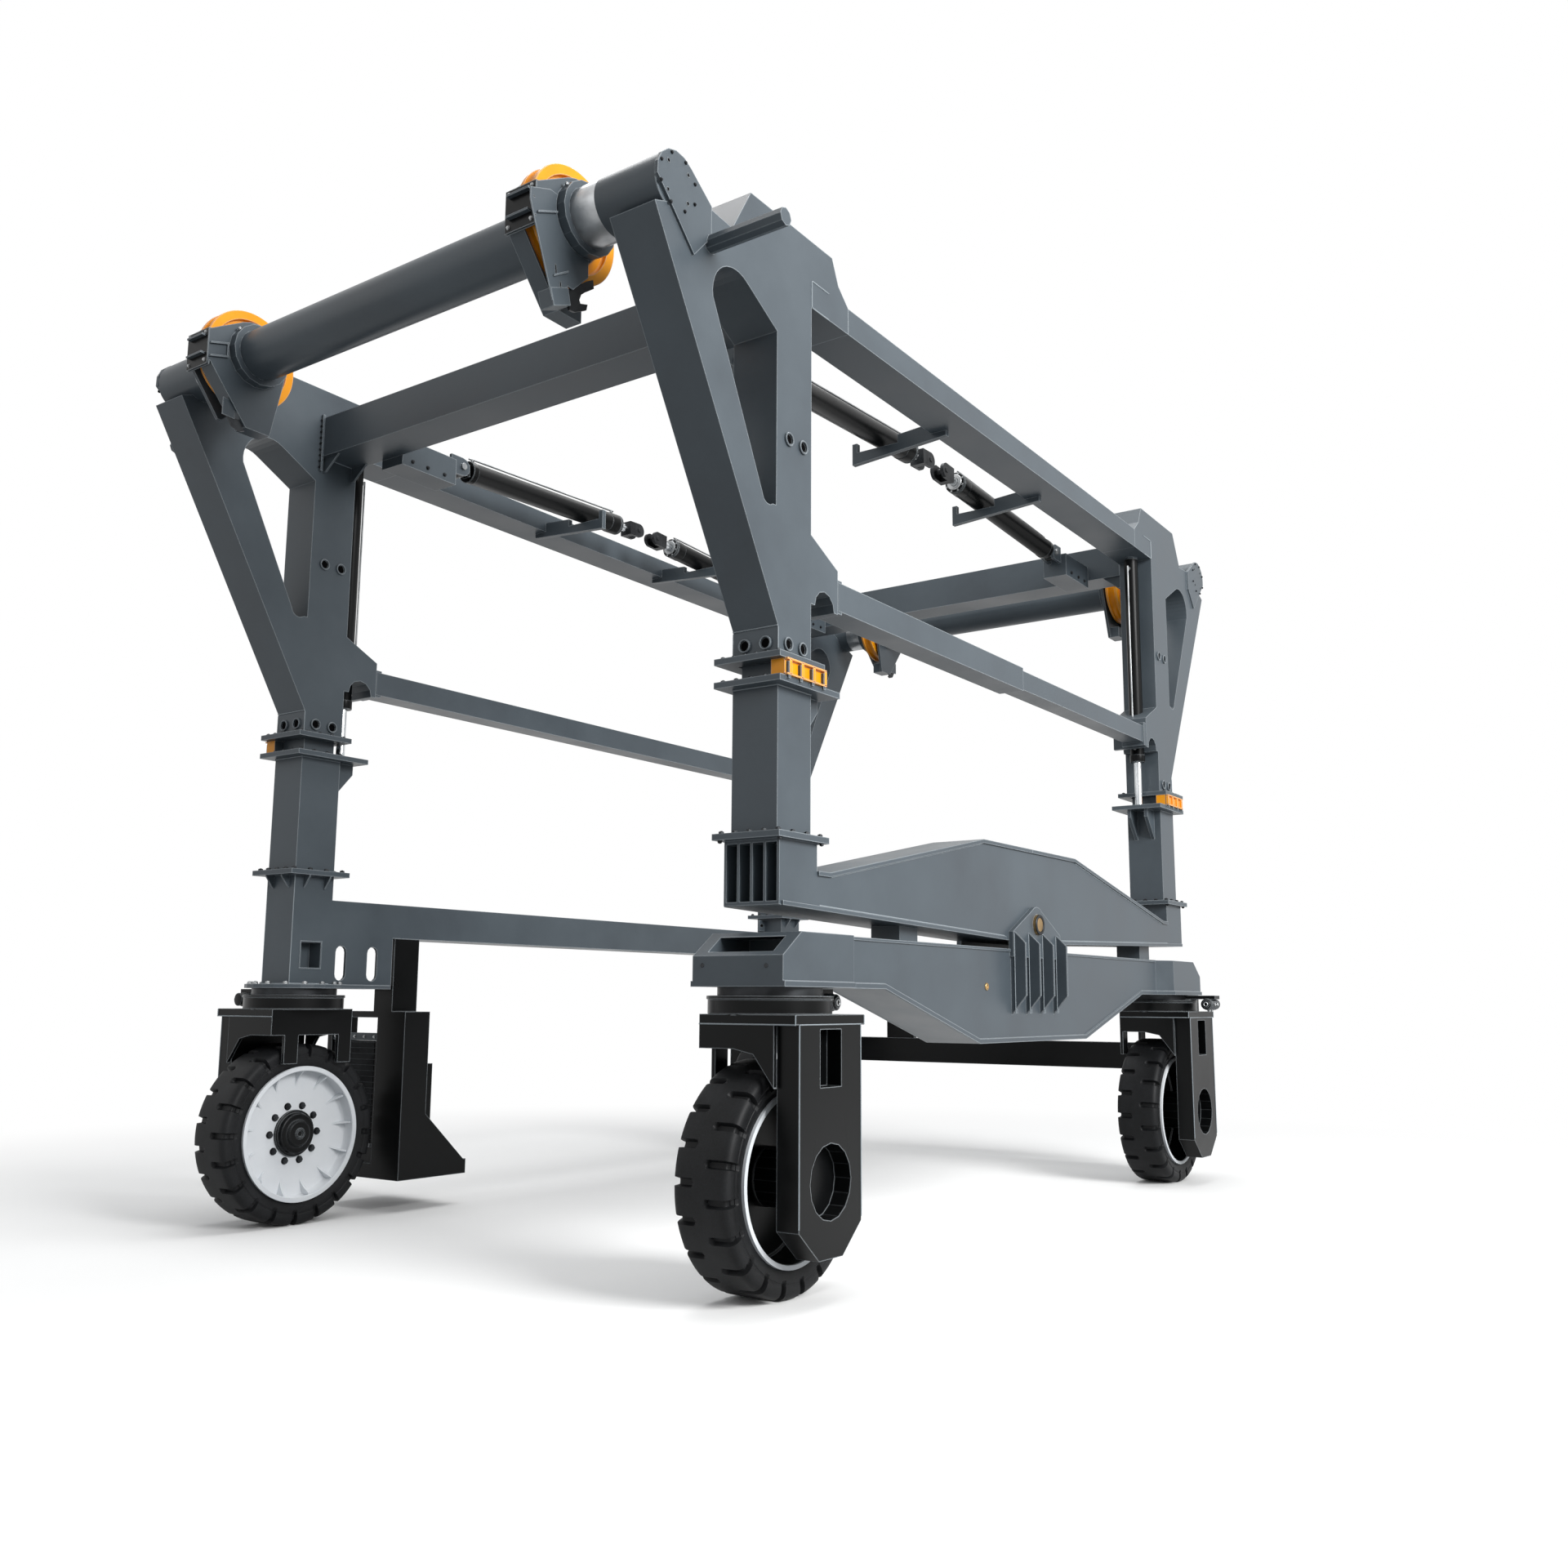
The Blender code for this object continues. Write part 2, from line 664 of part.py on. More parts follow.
def build_fork(name, across, along, steering):
    """One-sided fork: outer plate with window and axle, head plate, skirts and the slewing drum."""
    head_bottom = FORK_HEAD_TOP - FORK_HEAD_THICKNESS
    plate = prism((
        (-FORK_PLATE_FOOT_HALF, FORK_PLATE_BOTTOM), (FORK_PLATE_FOOT_HALF, FORK_PLATE_BOTTOM),
        (FORK_PLATE_HALF, FORK_PLATE_CHAMFER_TOP), (FORK_PLATE_HALF, head_bottom + WELD),
        (-FORK_PLATE_HALF, head_bottom + WELD), (-FORK_PLATE_HALF, FORK_PLATE_CHAMFER_TOP),
    ), "X", FORK_PLATE_INNER, FORK_PLATE_OUTER)
    head = block((-FORK_HEAD_INNER, FORK_PLATE_OUTER), (-FORK_HEAD_HALF, FORK_HEAD_HALF),
                 (head_bottom, FORK_HEAD_TOP))
    inner_face = -FORK_HEAD_INNER + FORK_SKIRT_THICKNESS
    leg = FORK_HEAD_HALF / 3
    inner_skirt = prism((
        (-FORK_HEAD_HALF, head_bottom + WELD), (-FORK_HEAD_HALF, FORK_LEG_BOTTOM),
        (-FORK_HEAD_HALF + leg, FORK_LEG_BOTTOM), (-FORK_HEAD_HALF + leg, FORK_SKIRT_BOTTOM),
        (leg, FORK_SKIRT_BOTTOM), (leg, FORK_LEG_BOTTOM),
        (leg + leg, FORK_LEG_BOTTOM), (leg + leg, FORK_SKIRT_BOTTOM),
        (FORK_HEAD_HALF, FORK_SKIRT_BOTTOM), (FORK_HEAD_HALF, head_bottom + WELD),
    ), "X", -FORK_HEAD_INNER, inner_face)
    skirts = []
    for end in (-1, 1):
        face = sorted((end * FORK_HEAD_HALF, end * (FORK_HEAD_HALF - FORK_SKIRT_THICKNESS)))
        skirts.append(prism((
            (-FORK_HEAD_INNER + WELD, head_bottom + WELD), (-FORK_HEAD_INNER + WELD, FORK_SKIRT_BOTTOM),
            (0.0, FORK_SKIRT_BOTTOM), (FORK_PLATE_INNER / 2, FORK_SKIRT_BOTTOM - FORK_SKIRT_THICKNESS),
            (FORK_PLATE_INNER + WELD, FORK_LEG_BOTTOM), (FORK_PLATE_INNER + WELD, head_bottom + WELD),
        ), "Y", face[0], face[1]))
    drum = rod("Z", (0.0, 0.0), SLEW_DRUM_RADIUS, FORK_HEAD_TOP - WELD, SLEW_DRUM_TOP)
    disc_outer = -TYRE_WIDTH / 2 + RIM_DISC_DEPTH + RIM_DISC_THICKNESS
    axle_end = disc_outer - RIM_DISC_THICKNESS - HUB_REACH / 2 + SHAFT_GAP
    hub_flange = disc_outer + HUB_REACH + BEARING_GAP
    axle = revolve((
        (0.0, axle_end), (AXLE_RADIUS, axle_end), (AXLE_RADIUS, hub_flange),
        (HUB_RADIUS, hub_flange), (HUB_RADIUS, FORK_PLATE_INNER + WELD), (0.0, FORK_PLATE_INNER + WELD),
    ), "X", (0.0, TYRE_RADIUS))
    recess_floor = FORK_PLATE_OUTER - FORK_HUB_HOLE_DEPTH
    hub_hole = rod("X", (0.0, TYRE_RADIUS), FORK_HUB_HOLE_RADIUS, recess_floor,
                   FORK_PLATE_OUTER + OVERRUN)
    window = block((FORK_PLATE_OUTER - FORK_WINDOW_DEPTH, FORK_PLATE_OUTER + OVERRUN),
                   (-FORK_WINDOW_HALF, FORK_WINDOW_HALF), (FORK_WINDOW_BOTTOM, FORK_WINDOW_TOP))
    solids = [to_corner(s, across, along) for s in (plate, head, inner_skirt, joined(skirts), drum, axle)]
    cuts = [to_corner(joined((hub_hole, window)), across, along)]
    origin = (across * TRACK_HALF, along * BASE_HALF, SLEW_DRUM_TOP)
    piece(f"fork_{name}", "black_paint", solids, cuts, origin, steering)


def build_slew_ring(name, across, along, motor_side):
    """The fixed half of the slewing ring, with the steering motor on its arm."""
    low = SLEW_DRUM_TOP + BEARING_GAP
    top = SLEW_RING_TOP - FACE_GAP
    ring = rod("Z", (0.0, 0.0), SLEW_RING_RADIUS, low, top)
    half = STEER_MOTOR_ARM_WIDTH / 2
    arm_low = low + 2 * WELD
    arm_span = (SLEW_RING_RADIUS - OVERRUN, STEER_MOTOR_OFFSET + half)
    motor_z = arm_low + WELD - STEER_MOTOR_RADIUS
    ends = (-STEER_MOTOR_LENGTH / 2, STEER_MOTOR_LENGTH / 2)
    if motor_side == "outer":
        arm = block(arm_span, (-half, half), (arm_low, top - WELD))
        motor = rod("Y", (STEER_MOTOR_OFFSET, motor_z), STEER_MOTOR_RADIUS, ends[0], ends[1], SMALL_STEPS)
    else:
        arm = block((-half, half), (-arm_span[1], -arm_span[0]), (arm_low, top - WELD))
        motor = rod("X", (-STEER_MOTOR_OFFSET, motor_z), STEER_MOTOR_RADIUS, ends[0], ends[1], SMALL_STEPS)
    solids = [to_corner(s, across, along) for s in (ring, arm, motor)]
    piece(f"slew_ring_{name}", "black_paint", solids)


# Right side: rocker beam, pivot beam and pin


def rocker_outline():
    """Side view of the rocker's middle, which runs into both heads."""
    half = (
        (ROCKER_BELLY_HALF, ROCKER_BELLY_BOTTOM), (ROCKER_SLOPE_END, SLEW_RING_TOP),
        (ROCKER_HEAD_START, SLEW_RING_TOP), (ROCKER_HEAD_START, ROCKER_TOP),
    )
    return list(half) + [(-y, z) for y, z in reversed(half)]


def head_outline(x, half_wide, half_slim, along):
    """Plan of the rocker's wide head, tapering to its slimmer middle."""
    taper = ROCKER_HEAD_START - ROCKER_HEAD_TAPER
    half = ((half_wide, ROCKER_END), (half_wide, ROCKER_HEAD_START), (half_slim, taper))
    points = [(x + a, along * y) for a, y in half]
    points += [(x - a, along * y) for a, y in reversed(half)]
    return points


def build_rocker():
    """Equalising beam: slim middle with a deep belly, wide heads, pin lugs and outer fins."""
    x = TRACK_HALF
    half_width = ROCKER_HALF_WIDTH
    body = prism(rocker_outline(), "X", x - half_width, x + half_width)
    heads = []
    rims = []
    for along in (-1, 1):
        outline = head_outline(x, ROCKER_HEAD_HALF_WIDTH, half_width - WELD, along)
        heads.append(prism(outline, "Z", SLEW_RING_TOP, ROCKER_TOP))
        outline = head_outline(x, ROCKER_HEAD_HALF_WIDTH + ROCKER_FLANGE_STAND, half_width, along)
        rims.append(prism(outline, "Z", SLEW_RING_TOP, SLEW_RING_TOP + ROCKER_FLANGE_HEIGHT))
    lug_outline = [(LUG_BASE_HALF, ROCKER_TOP - OVERRUN), (LUG_BASE_HALF, LUG_SHOULDER_Z)]
    lug_outline += arc((0.0, PIN_Z), LUG_TOP_RADIUS, LUG_TOP_START_DEGREES, 180.0 - LUG_TOP_START_DEGREES)
    lug_outline += [(-LUG_BASE_HALF, LUG_SHOULDER_Z), (-LUG_BASE_HALF, ROCKER_TOP - OVERRUN)]
    lug_inner = PIVOT_HALF_WIDTH + FACE_GAP
    lug_outer = lug_inner + LUG_PLATE_THICKNESS
    lugs = [
        prism(lug_outline, "X", x - lug_outer, x - lug_inner),
        prism(lug_outline, "X", x + lug_inner, x + lug_outer),
    ]
    flange_half = half_width + ROCKER_FLANGE_STAND
    bottom_half = (
        (ROCKER_BELLY_HALF, ROCKER_BELLY_BOTTOM), (ROCKER_SLOPE_END, SLEW_RING_TOP),
        (ROCKER_HEAD_START - ROCKER_HEAD_TAPER, SLEW_RING_TOP),
    )
    lower = [(-y, z) for y, z in reversed(bottom_half)] + list(bottom_half)
    strip = lower + [(y, z + ROCKER_FLANGE_HEIGHT) for y, z in reversed(lower)]
    flange = prism(strip, "X", x - flange_half, x + flange_half)
    fins = []
    outer = x + half_width
    for i in range(FIN_COUNT):
        y = FIN_MIDDLE_Y + (i - (FIN_COUNT - 1) / 2) * FIN_PITCH
        fins.append(prism((
            (outer - WELD, FIN_TOP), (outer - WELD, FIN_BOTTOM), (outer, FIN_BOTTOM),
            (outer + FIN_REACH, FIN_SHOULDER_BOTTOM), (outer + FIN_REACH, FIN_SHOULDER_TOP),
            (outer + LUG_PLATE_THICKNESS, FIN_TOP),
        ), "Y", y - FIN_THICKNESS / 2, y + FIN_THICKNESS / 2))
    mouths = []
    chamfers = []
    for along in (-1, 1):
        depth = sorted((along * (ROCKER_END + OVERRUN), along * (ROCKER_END - ROCKER_MOUTH_DEPTH)))
        mouths.append(block((x - ROCKER_MOUTH_HALF, x + ROCKER_MOUTH_HALF), depth,
                            (ROCKER_MOUTH_BOTTOM, ROCKER_MOUTH_TOP)))
        fall = (ROCKER_TOP - ROCKER_END_TOP) / (ROCKER_END - ROCKER_CHAMFER_START)
        outline = (
            (along * ROCKER_CHAMFER_START, ROCKER_TOP),
            (along * (ROCKER_END + OVERRUN), ROCKER_END_TOP - fall * OVERRUN),
            (along * (ROCKER_END + OVERRUN), ROCKER_TOP + OVERRUN),
            (along * ROCKER_CHAMFER_START, ROCKER_TOP + OVERRUN),
        )
        chamfers.append(prism(outline, "X", x - ROCKER_HEAD_HALF_WIDTH - OVERRUN,
                              x + ROCKER_HEAD_HALF_WIDTH + OVERRUN))
    bore = rod("X", (0.0, PIN_Z), PIN_RADIUS + FACE_GAP, x - lug_outer - OVERRUN, x + lug_outer + OVERRUN)
    solids = [body, joined(heads), joined(rims), joined(lugs), flange, joined(fins)]
    piece("rocker_beam", "steel_paint", solids, [joined(chamfers), joined(mouths), bore])


def build_pivot_beam():
    """The rigid beam over the rocker, with open ribbed blocks under both columns."""
    x = TRACK_HALF
    half = (
        (PIVOT_MID_HALF, PIVOT_MID_BOTTOM), (PIVOT_END, PIVOT_END_BOTTOM), (PIVOT_END, PIVOT_BLOCK_TOP),
        (PIVOT_BLOCK_START, PIVOT_BLOCK_TOP), (PIVOT_BLOCK_START, PIVOT_NECK_TOP),
        (PIVOT_NECK_Y, PIVOT_NECK_TOP), (PIVOT_PEAK_HALF, PIVOT_PEAK_TOP),
    )
    outline = list(half) + [(-y, z) for y, z in reversed(half)]
    body = prism([(y, z - FACE_GAP if z == PIVOT_BLOCK_TOP else z) for y, z in outline], "X",
                 x - PIVOT_HALF_WIDTH, x + PIVOT_HALF_WIDTH)
    stops = []
    for y in STOP_CENTRES:
        span = (y - STOP_HALF_LENGTH, y + STOP_HALF_LENGTH)
        stops.append(block((x - STOP_HALF_WIDTH, x + STOP_HALF_WIDTH), span,
                           (ROCKER_TOP + FACE_GAP, PIVOT_END_BOTTOM)))
    bay = (2 * PIVOT_HALF_WIDTH - (PIVOT_BAY_COUNT + 1) * PIVOT_BAY_WALL) / PIVOT_BAY_COUNT
    bays = []
    for along in (-1, 1):
        depth = sorted((along * (PIVOT_END + OVERRUN), along * (PIVOT_END - PIVOT_BAY_DEPTH)))
        for i in range(PIVOT_BAY_COUNT):
            low = x - PIVOT_HALF_WIDTH + PIVOT_BAY_WALL + i * (bay + PIVOT_BAY_WALL)
            bays.append(block((low, low + bay), depth,
                              (PIVOT_END_BOTTOM + PIVOT_BAY_FLOOR, PIVOT_BLOCK_TOP - PIVOT_BAY_FLOOR)))
    bore = rod("X", (0.0, PIN_Z), PIN_RADIUS + FACE_GAP, x - PIVOT_HALF_WIDTH - OVERRUN,
               x + PIVOT_HALF_WIDTH + OVERRUN)
    piece("pivot_beam", "steel_paint", [body, joined(stops)], [joined(bays), bore])


def build_pin():
    reach = PIVOT_HALF_WIDTH + LUG_PLATE_THICKNESS + PIN_STAND
    pin = rod("X", (0.0, PIN_Z), PIN_RADIUS, TRACK_HALF - reach, TRACK_HALF + reach)
    piece("rocker_pin", "bronze", [pin])


# Left side base


def build_left_base():
    """Fixed base of the left side: two posts on foot plates and the low beam between them."""
    inner = -TRACK_HALF + COLUMN_HALF_X
    outer = -TRACK_HALF - COLUMN_HALF_X
    top = FOOT_FLANGE_BOTTOM - FACE_GAP
    solids = [block((outer, inner), (-BASE_HALF + COLUMN_HALF_Y - WELD, BASE_HALF - COLUMN_HALF_Y + WELD),
                    (LEFT_BEAM_BOTTOM, LEFT_BEAM_TOP))]
    posts = []
    plates = []
    panels = []
    cuts = []
    for along in (-1, 1):
        posts.append(to_corner(block((-COLUMN_HALF_X, COLUMN_HALF_X), (-COLUMN_HALF_Y, COLUMN_HALF_Y),
                                     (SLEW_RING_TOP, top)), -1, along))
        outline = arc((0.0, 0.0), LEFT_PLATE_RADIUS, -30.0, 210.0, ROUND_STEPS)
        outline += [(-COLUMN_HALF_X, -LEFT_PANEL_REACH), (COLUMN_HALF_X, -LEFT_PANEL_REACH)]
        plates.append(to_corner(prism(outline, "Z", SLEW_RING_TOP, LEFT_PLATE_TOP), -1, along))
        panels.append(to_corner(block(
            (-COLUMN_HALF_X, -COLUMN_HALF_X + LEFT_PANEL_THICKNESS),
            (-LEFT_PANEL_REACH, -COLUMN_HALF_Y + WELD),
            (LEFT_PLATE_TOP - WELD, LEFT_BEAM_BOTTOM + WELD)), -1, along))
        for near in (SLOT_NEAR, SLOT_FAR):
            outline = arc((-near, SLOT_TOP - SLOT_WIDTH / 2), SLOT_WIDTH / 2, 0.0, 180.0)
            outline += arc((-near, SLOT_BOTTOM + SLOT_WIDTH / 2), SLOT_WIDTH / 2, 180.0, 360.0)
            cuts.append(to_corner(prism(outline, "X", -COLUMN_HALF_X - OVERRUN,
                                        -COLUMN_HALF_X + LEFT_PANEL_THICKNESS + OVERRUN), -1, along))
        cuts.append(to_corner(block(
            (-COLUMN_HALF_X - OVERRUN, -COLUMN_HALF_X + COLUMN_WINDOW_DEPTH),
            (-COLUMN_WINDOW_HALF, COLUMN_WINDOW_HALF),
            (COLUMN_WINDOW_BOTTOM, COLUMN_WINDOW_TOP)), -1, along))
    piece("left_base", "steel_paint", solids + [joined(posts), joined(plates), joined(panels)],
          [joined(cuts)])


# Columns


def build_column(name, across, along):
    """Column with both flanges, the inner mast, the stop block and the lift rod on its ear."""
    foot = block((-FLANGE_HALF_X, FLANGE_HALF_X), (-FLANGE_HALF_Y, FLANGE_HALF_Y),
                 (FOOT_FLANGE_BOTTOM, FOOT_FLANGE_BOTTOM + FLANGE_THICKNESS))
    head_bottom = HEAD_FLANGE_TOP - FLANGE_THICKNESS
    body = block((-COLUMN_HALF_X, COLUMN_HALF_X), (-COLUMN_HALF_Y, COLUMN_HALF_Y),
                 (FOOT_FLANGE_BOTTOM + WELD, HEAD_FLANGE_TOP - WELD))
    head = block((-FLANGE_HALF_X, FLANGE_HALF_X), (-ROD_EAR, FLANGE_HALF_Y), (head_bottom, HEAD_FLANGE_TOP))
    ear_end = ROD_EAR - EAR_GUSSET_THICKNESS
    gussets = []
    for side in (-1, 1):
        low = side * COLUMN_HALF_X / 2 - EAR_GUSSET_THICKNESS / 2
        root = -COLUMN_HALF_Y + WELD
        gussets.append(prism((
            (root, head_bottom + WELD), (root, head_bottom - EAR_GUSSET_DROP),
            (-ear_end, head_bottom - EAR_GUSSET_LIP), (-ear_end, head_bottom + WELD),
        ), "X", low, low + EAR_GUSSET_THICKNESS))
    mast_x = COLUMN_HALF_X - SLEEVE_WALL - MAST_CLEARANCE
    mast_y = COLUMN_HALF_Y - SLEEVE_WALL - MAST_CLEARANCE
    mast = block((-mast_x, mast_x), (-mast_y, mast_y), (HEAD_FLANGE_TOP - WELD, MAST_TOP))
    lift_rod = rod("Z", (0.0, -ROD_OFFSET), ROD_RADIUS, HEAD_FLANGE_TOP - WELD, ROD_TOP, SMALL_STEPS)
    block_top = HEAD_FLANGE_TOP + STOP_BLOCK_HEIGHT
    stop = block((STOP_BLOCK_INNER, STOP_BLOCK_OUTER), (-STOP_BLOCK_HALF, STOP_BLOCK_HALF),
                 (HEAD_FLANGE_TOP - WELD, block_top))
    pitch = 2 * (STOP_BLOCK_HALF - STOP_BLOCK_RIB) / (STOP_BLOCK_RIBS - 1)
    ribs = []
    for i in range(STOP_BLOCK_RIBS):
        y = -STOP_BLOCK_HALF + STOP_BLOCK_RIB + i * pitch
        ribs.append(block((STOP_BLOCK_OUTER - WELD, STOP_BLOCK_OUTER + STOP_BLOCK_RIB),
                          (y - STOP_BLOCK_RIB / 2, y + STOP_BLOCK_RIB / 2),
                          (HEAD_FLANGE_TOP - FLANGE_THICKNESS / 2, block_top - STOP_BLOCK_RIB)))
    solids = [body, foot, head, joined(gussets), joined((mast, lift_rod, stop)), joined(ribs)]
    piece(f"column_{name}", "steel_paint", [to_corner(s, across, along) for s in solids])


# Leg frames


def arch_outline():
    """The opening in a leg frame: a tall arch whose outer side runs down along the brace."""
    run = ARCH_CENTRE - ARCH_TIP
    rise = ARCH_CENTRE_Z - ARCH_TIP_Z
    lean = math.degrees(math.atan2(run, rise))
    flare = math.degrees(math.asin((ARCH_RADIUS - ARCH_TIP_RADIUS) / math.hypot(run, rise)))
    tangent = flare - lean
    outline = [(ARCH_COLUMN_SIDE, ARCH_COLUMN_BOTTOM)]
    outline += arc((ARCH_TIP, ARCH_TIP_Z), ARCH_TIP_RADIUS, 230.0, 360.0 + tangent)
    outline += arc((ARCH_CENTRE, ARCH_CENTRE_Z), ARCH_RADIUS, tangent, 120.0, 2 * ARC_STEPS)
    outline += [(ARCH_COLUMN_SIDE, ARCH_COLUMN_TOP)]
    return outline


def leg_outline(bottom):
    return [
        (-COLUMN_HALF_Y, bottom), (COLUMN_HALF_Y, bottom), (COLUMN_HALF_Y, BRACE_FOOT_Z),
        (BRACE_TIP, BRACE_TIP_Z), (BRACE_SHOULDER, BRACE_SHOULDER_Z), (HEAD_FRONT_FOOT, HEAD_FRONT_FOOT_Z),
        (HEAD_FRONT_TOP, HEAD_TOP), (-HEAD_REAR_TOP, HEAD_TOP), (-HEAD_REAR_KNEE, HEAD_REAR_KNEE_Z),
        (-HEAD_STUB, SIDE_BEAM_TOP), (-HEAD_STUB, SIDE_BEAM_BOTTOM), (-COLUMN_HALF_Y, SIDE_BEAM_BOTTOM),
        (-COLUMN_HALF_Y, BRACKET_FILLET_TOP), (-BRACKET_REACH, BRACKET_TOP), (-BRACKET_REACH, BRACKET_BOTTOM),
    ] + arc((-BRACKET_ARCH_CENTRE, BRACKET_BOTTOM), BRACKET_ARCH_RADIUS, 180.0, 0.0) + [
        (-COLUMN_HALF_Y, BRACKET_BOTTOM),
    ]


def build_leg_frame(name, across, along, upper):
    """Box-section leg: sleeve, raked brace, head, mid-beam bracket, end plate and lift barrel."""
    flange_bottom = HEAD_FLANGE_TOP + STOP_BLOCK_HEIGHT + FACE_GAP
    flange_top = flange_bottom + FLANGE_THICKNESS
    body = prism(leg_outline(flange_top - WELD), "X", -COLUMN_HALF_X, COLUMN_HALF_X)
    flange = block((-FLANGE_HALF_X, FLANGE_HALF_X), (-COLUMN_HALF_Y - FLANGE_THICKNESS, FLANGE_HALF_Y),
                   (flange_bottom, flange_top))
    plate_outline = arc((TUBE_OUT, TUBE_Z), END_PLATE_RADIUS, END_PLATE_START_DEGREES, END_PLATE_END_DEGREES)
    plate_outline += [
        (BRACE_SHOULDER, BRACE_SHOULDER_Z), (BRACE_SHOULDER, BRACE_TIP_Z),
        (TUBE_OUT - END_PLATE_RADIUS + OVERRUN / 2, TUBE_Z - 2 * END_PLATE_RADIUS),
    ]
    end_plate = prism(plate_outline, "X", COLUMN_HALF_X - WELD, COLUMN_HALF_X + END_PLATE_THICKNESS)
    pipe = rod("X", (STUB_PIPE_OUT, STUB_PIPE_Z), STUB_PIPE_RADIUS, COLUMN_HALF_X - WELD,
               COLUMN_HALF_X + STUB_PIPE_LENGTH, SMALL_STEPS)
    barrel = rod("Z", (0.0, -ROD_OFFSET), BARREL_RADIUS, BARREL_BOTTOM, SIDE_BEAM_BOTTOM + WELD,
                 SMALL_STEPS)
    opening = prism(arch_outline(), "X", -COLUMN_HALF_X - OVERRUN, COLUMN_HALF_X + OVERRUN)
    bore_x = COLUMN_HALF_X - SLEEVE_WALL
    bore_y = COLUMN_HALF_Y - SLEEVE_WALL
    sleeve = block((-bore_x, bore_x), (-bore_y, bore_y), (flange_bottom - OVERRUN, SLEEVE_BORE_TOP))
    rod_bore = rod("Z", (0.0, -ROD_OFFSET), BARREL_RADIUS - BARREL_WALL, BARREL_BOTTOM - OVERRUN,
                   SLEEVE_BORE_TOP, SMALL_STEPS)
    cradle = rod("X", (TUBE_OUT, TUBE_Z), TUBE_RADIUS + FACE_GAP, -COLUMN_HALF_X - OVERRUN,
                 COLUMN_HALF_X - WELD)
    solids = [body, joined((flange, barrel)), end_plate]
    if along < 0:
        solids.append(pipe)
    cuts = [opening, joined((sleeve, rod_bore)), cradle]
    piece(f"leg_frame_{name}", "steel_paint", [to_corner(s, across, along) for s in solids],
          [to_corner(s, across, along) for s in cuts], parent=upper)


# Upper frame beams


def build_crossbeam(name, along, upper):
    """Beam across the portal, with a box and clevis for each hoist cylinder."""
    reach = TRACK_HALF - COLUMN_HALF_X - FACE_GAP
    centre = along * BASE_HALF
    body = block((-reach, reach), (centre - CROSS_HALF_DEPTH, centre + CROSS_HALF_DEPTH),
                 (CROSS_BOTTOM, CROSS_TOP))
    face = BASE_HALF - CROSS_HALF_DEPTH
    eye = BASE_HALF - HOIST_EYE_OUT
    boxes = []
    ears = []
    pins = []
    slot = HOIST_EYE_WIDTH / 2 + FACE_GAP
    for across in (-1, 1):
        x = across * HOIST_X
        boxes.append(mirrored(block((x - HOIST_BOX_HALF, x + HOIST_BOX_HALF), (HOIST_BOX_END, face + WELD),
                                    (HOIST_BOX_BOTTOM, HOIST_BOX_TOP)), 1, along))
        for side in (-1, 1):
            ear_x = sorted((x + side * slot, x + side * (slot + HOIST_EAR_THICKNESS)))
            root = HOIST_BOX_END + WELD
            outline = [(root, HOIST_Z + HOIST_EYE_RADIUS), (root, HOIST_Z - HOIST_EYE_RADIUS)]
            outline += arc((eye, HOIST_Z), HOIST_EYE_RADIUS, 270.0, 90.0)
            ears.append(mirrored(prism(outline, "X", ear_x[0], ear_x[1]), 1, along))
        reach_x = slot + HOIST_EAR_THICKNESS + WELD
        pin = rod("X", (eye, HOIST_Z), HOIST_PIN_RADIUS, x - reach_x, x + reach_x, SMALL_STEPS)
        pins.append(mirrored(tilted(pin, eye), 1, along))
    piece(f"crossbeam_{name}", "steel_paint", [body, joined(boxes), joined(ears), joined(pins)],
          parent=upper)


def build_side_beam(name, across, upper):
    """Long upper beam, with the two arms that carry the hoist cylinders."""
    reach = BASE_HALF - HEAD_STUB - FACE_GAP
    body = block((TRACK_HALF - COLUMN_HALF_X, TRACK_HALF + COLUMN_HALF_X), (-reach, reach),
                 (SIDE_BEAM_BOTTOM, SIDE_BEAM_TOP))
    tilt = math.radians(HOIST_TILT_DEGREES)
    run = BASE_HALF - HOIST_EYE_OUT - ARM_Y - ARM_THICKNESS / 2
    arm_top = HOIST_Z + run * math.tan(tilt) - HOIST_RADIUS / math.cos(tilt) - FACE_GAP
    arm_bottom = arm_top - ARM_DEPTH
    face = TRACK_HALF - COLUMN_HALF_X
    outline = (
        (ARM_INNER, arm_bottom), (ARM_ROOT, arm_bottom + ARM_STEP_RISE), (ARM_ROOT, SIDE_BEAM_BOTTOM + WELD),
        (face + WELD, SIDE_BEAM_BOTTOM + WELD), (face + WELD, arm_top + ARM_ROOT_RISE),
        (ARM_SHOULDER, arm_top + ARM_SHOULDER_RISE), (ARM_SHOULDER, arm_top),
        (ARM_INNER + ARM_THICKNESS, arm_top), (ARM_INNER + ARM_THICKNESS, arm_top + ARM_TIP_RISE),
        (ARM_INNER, arm_top + ARM_TIP_RISE),
    )
    arms = [prism(outline, "Y", y - ARM_THICKNESS / 2, y + ARM_THICKNESS / 2) for y in (-ARM_Y, ARM_Y)]
    piece(f"side_beam_{name}", "steel_paint", [mirrored(body, across), mirrored(joined(arms), across)],
          parent=upper)


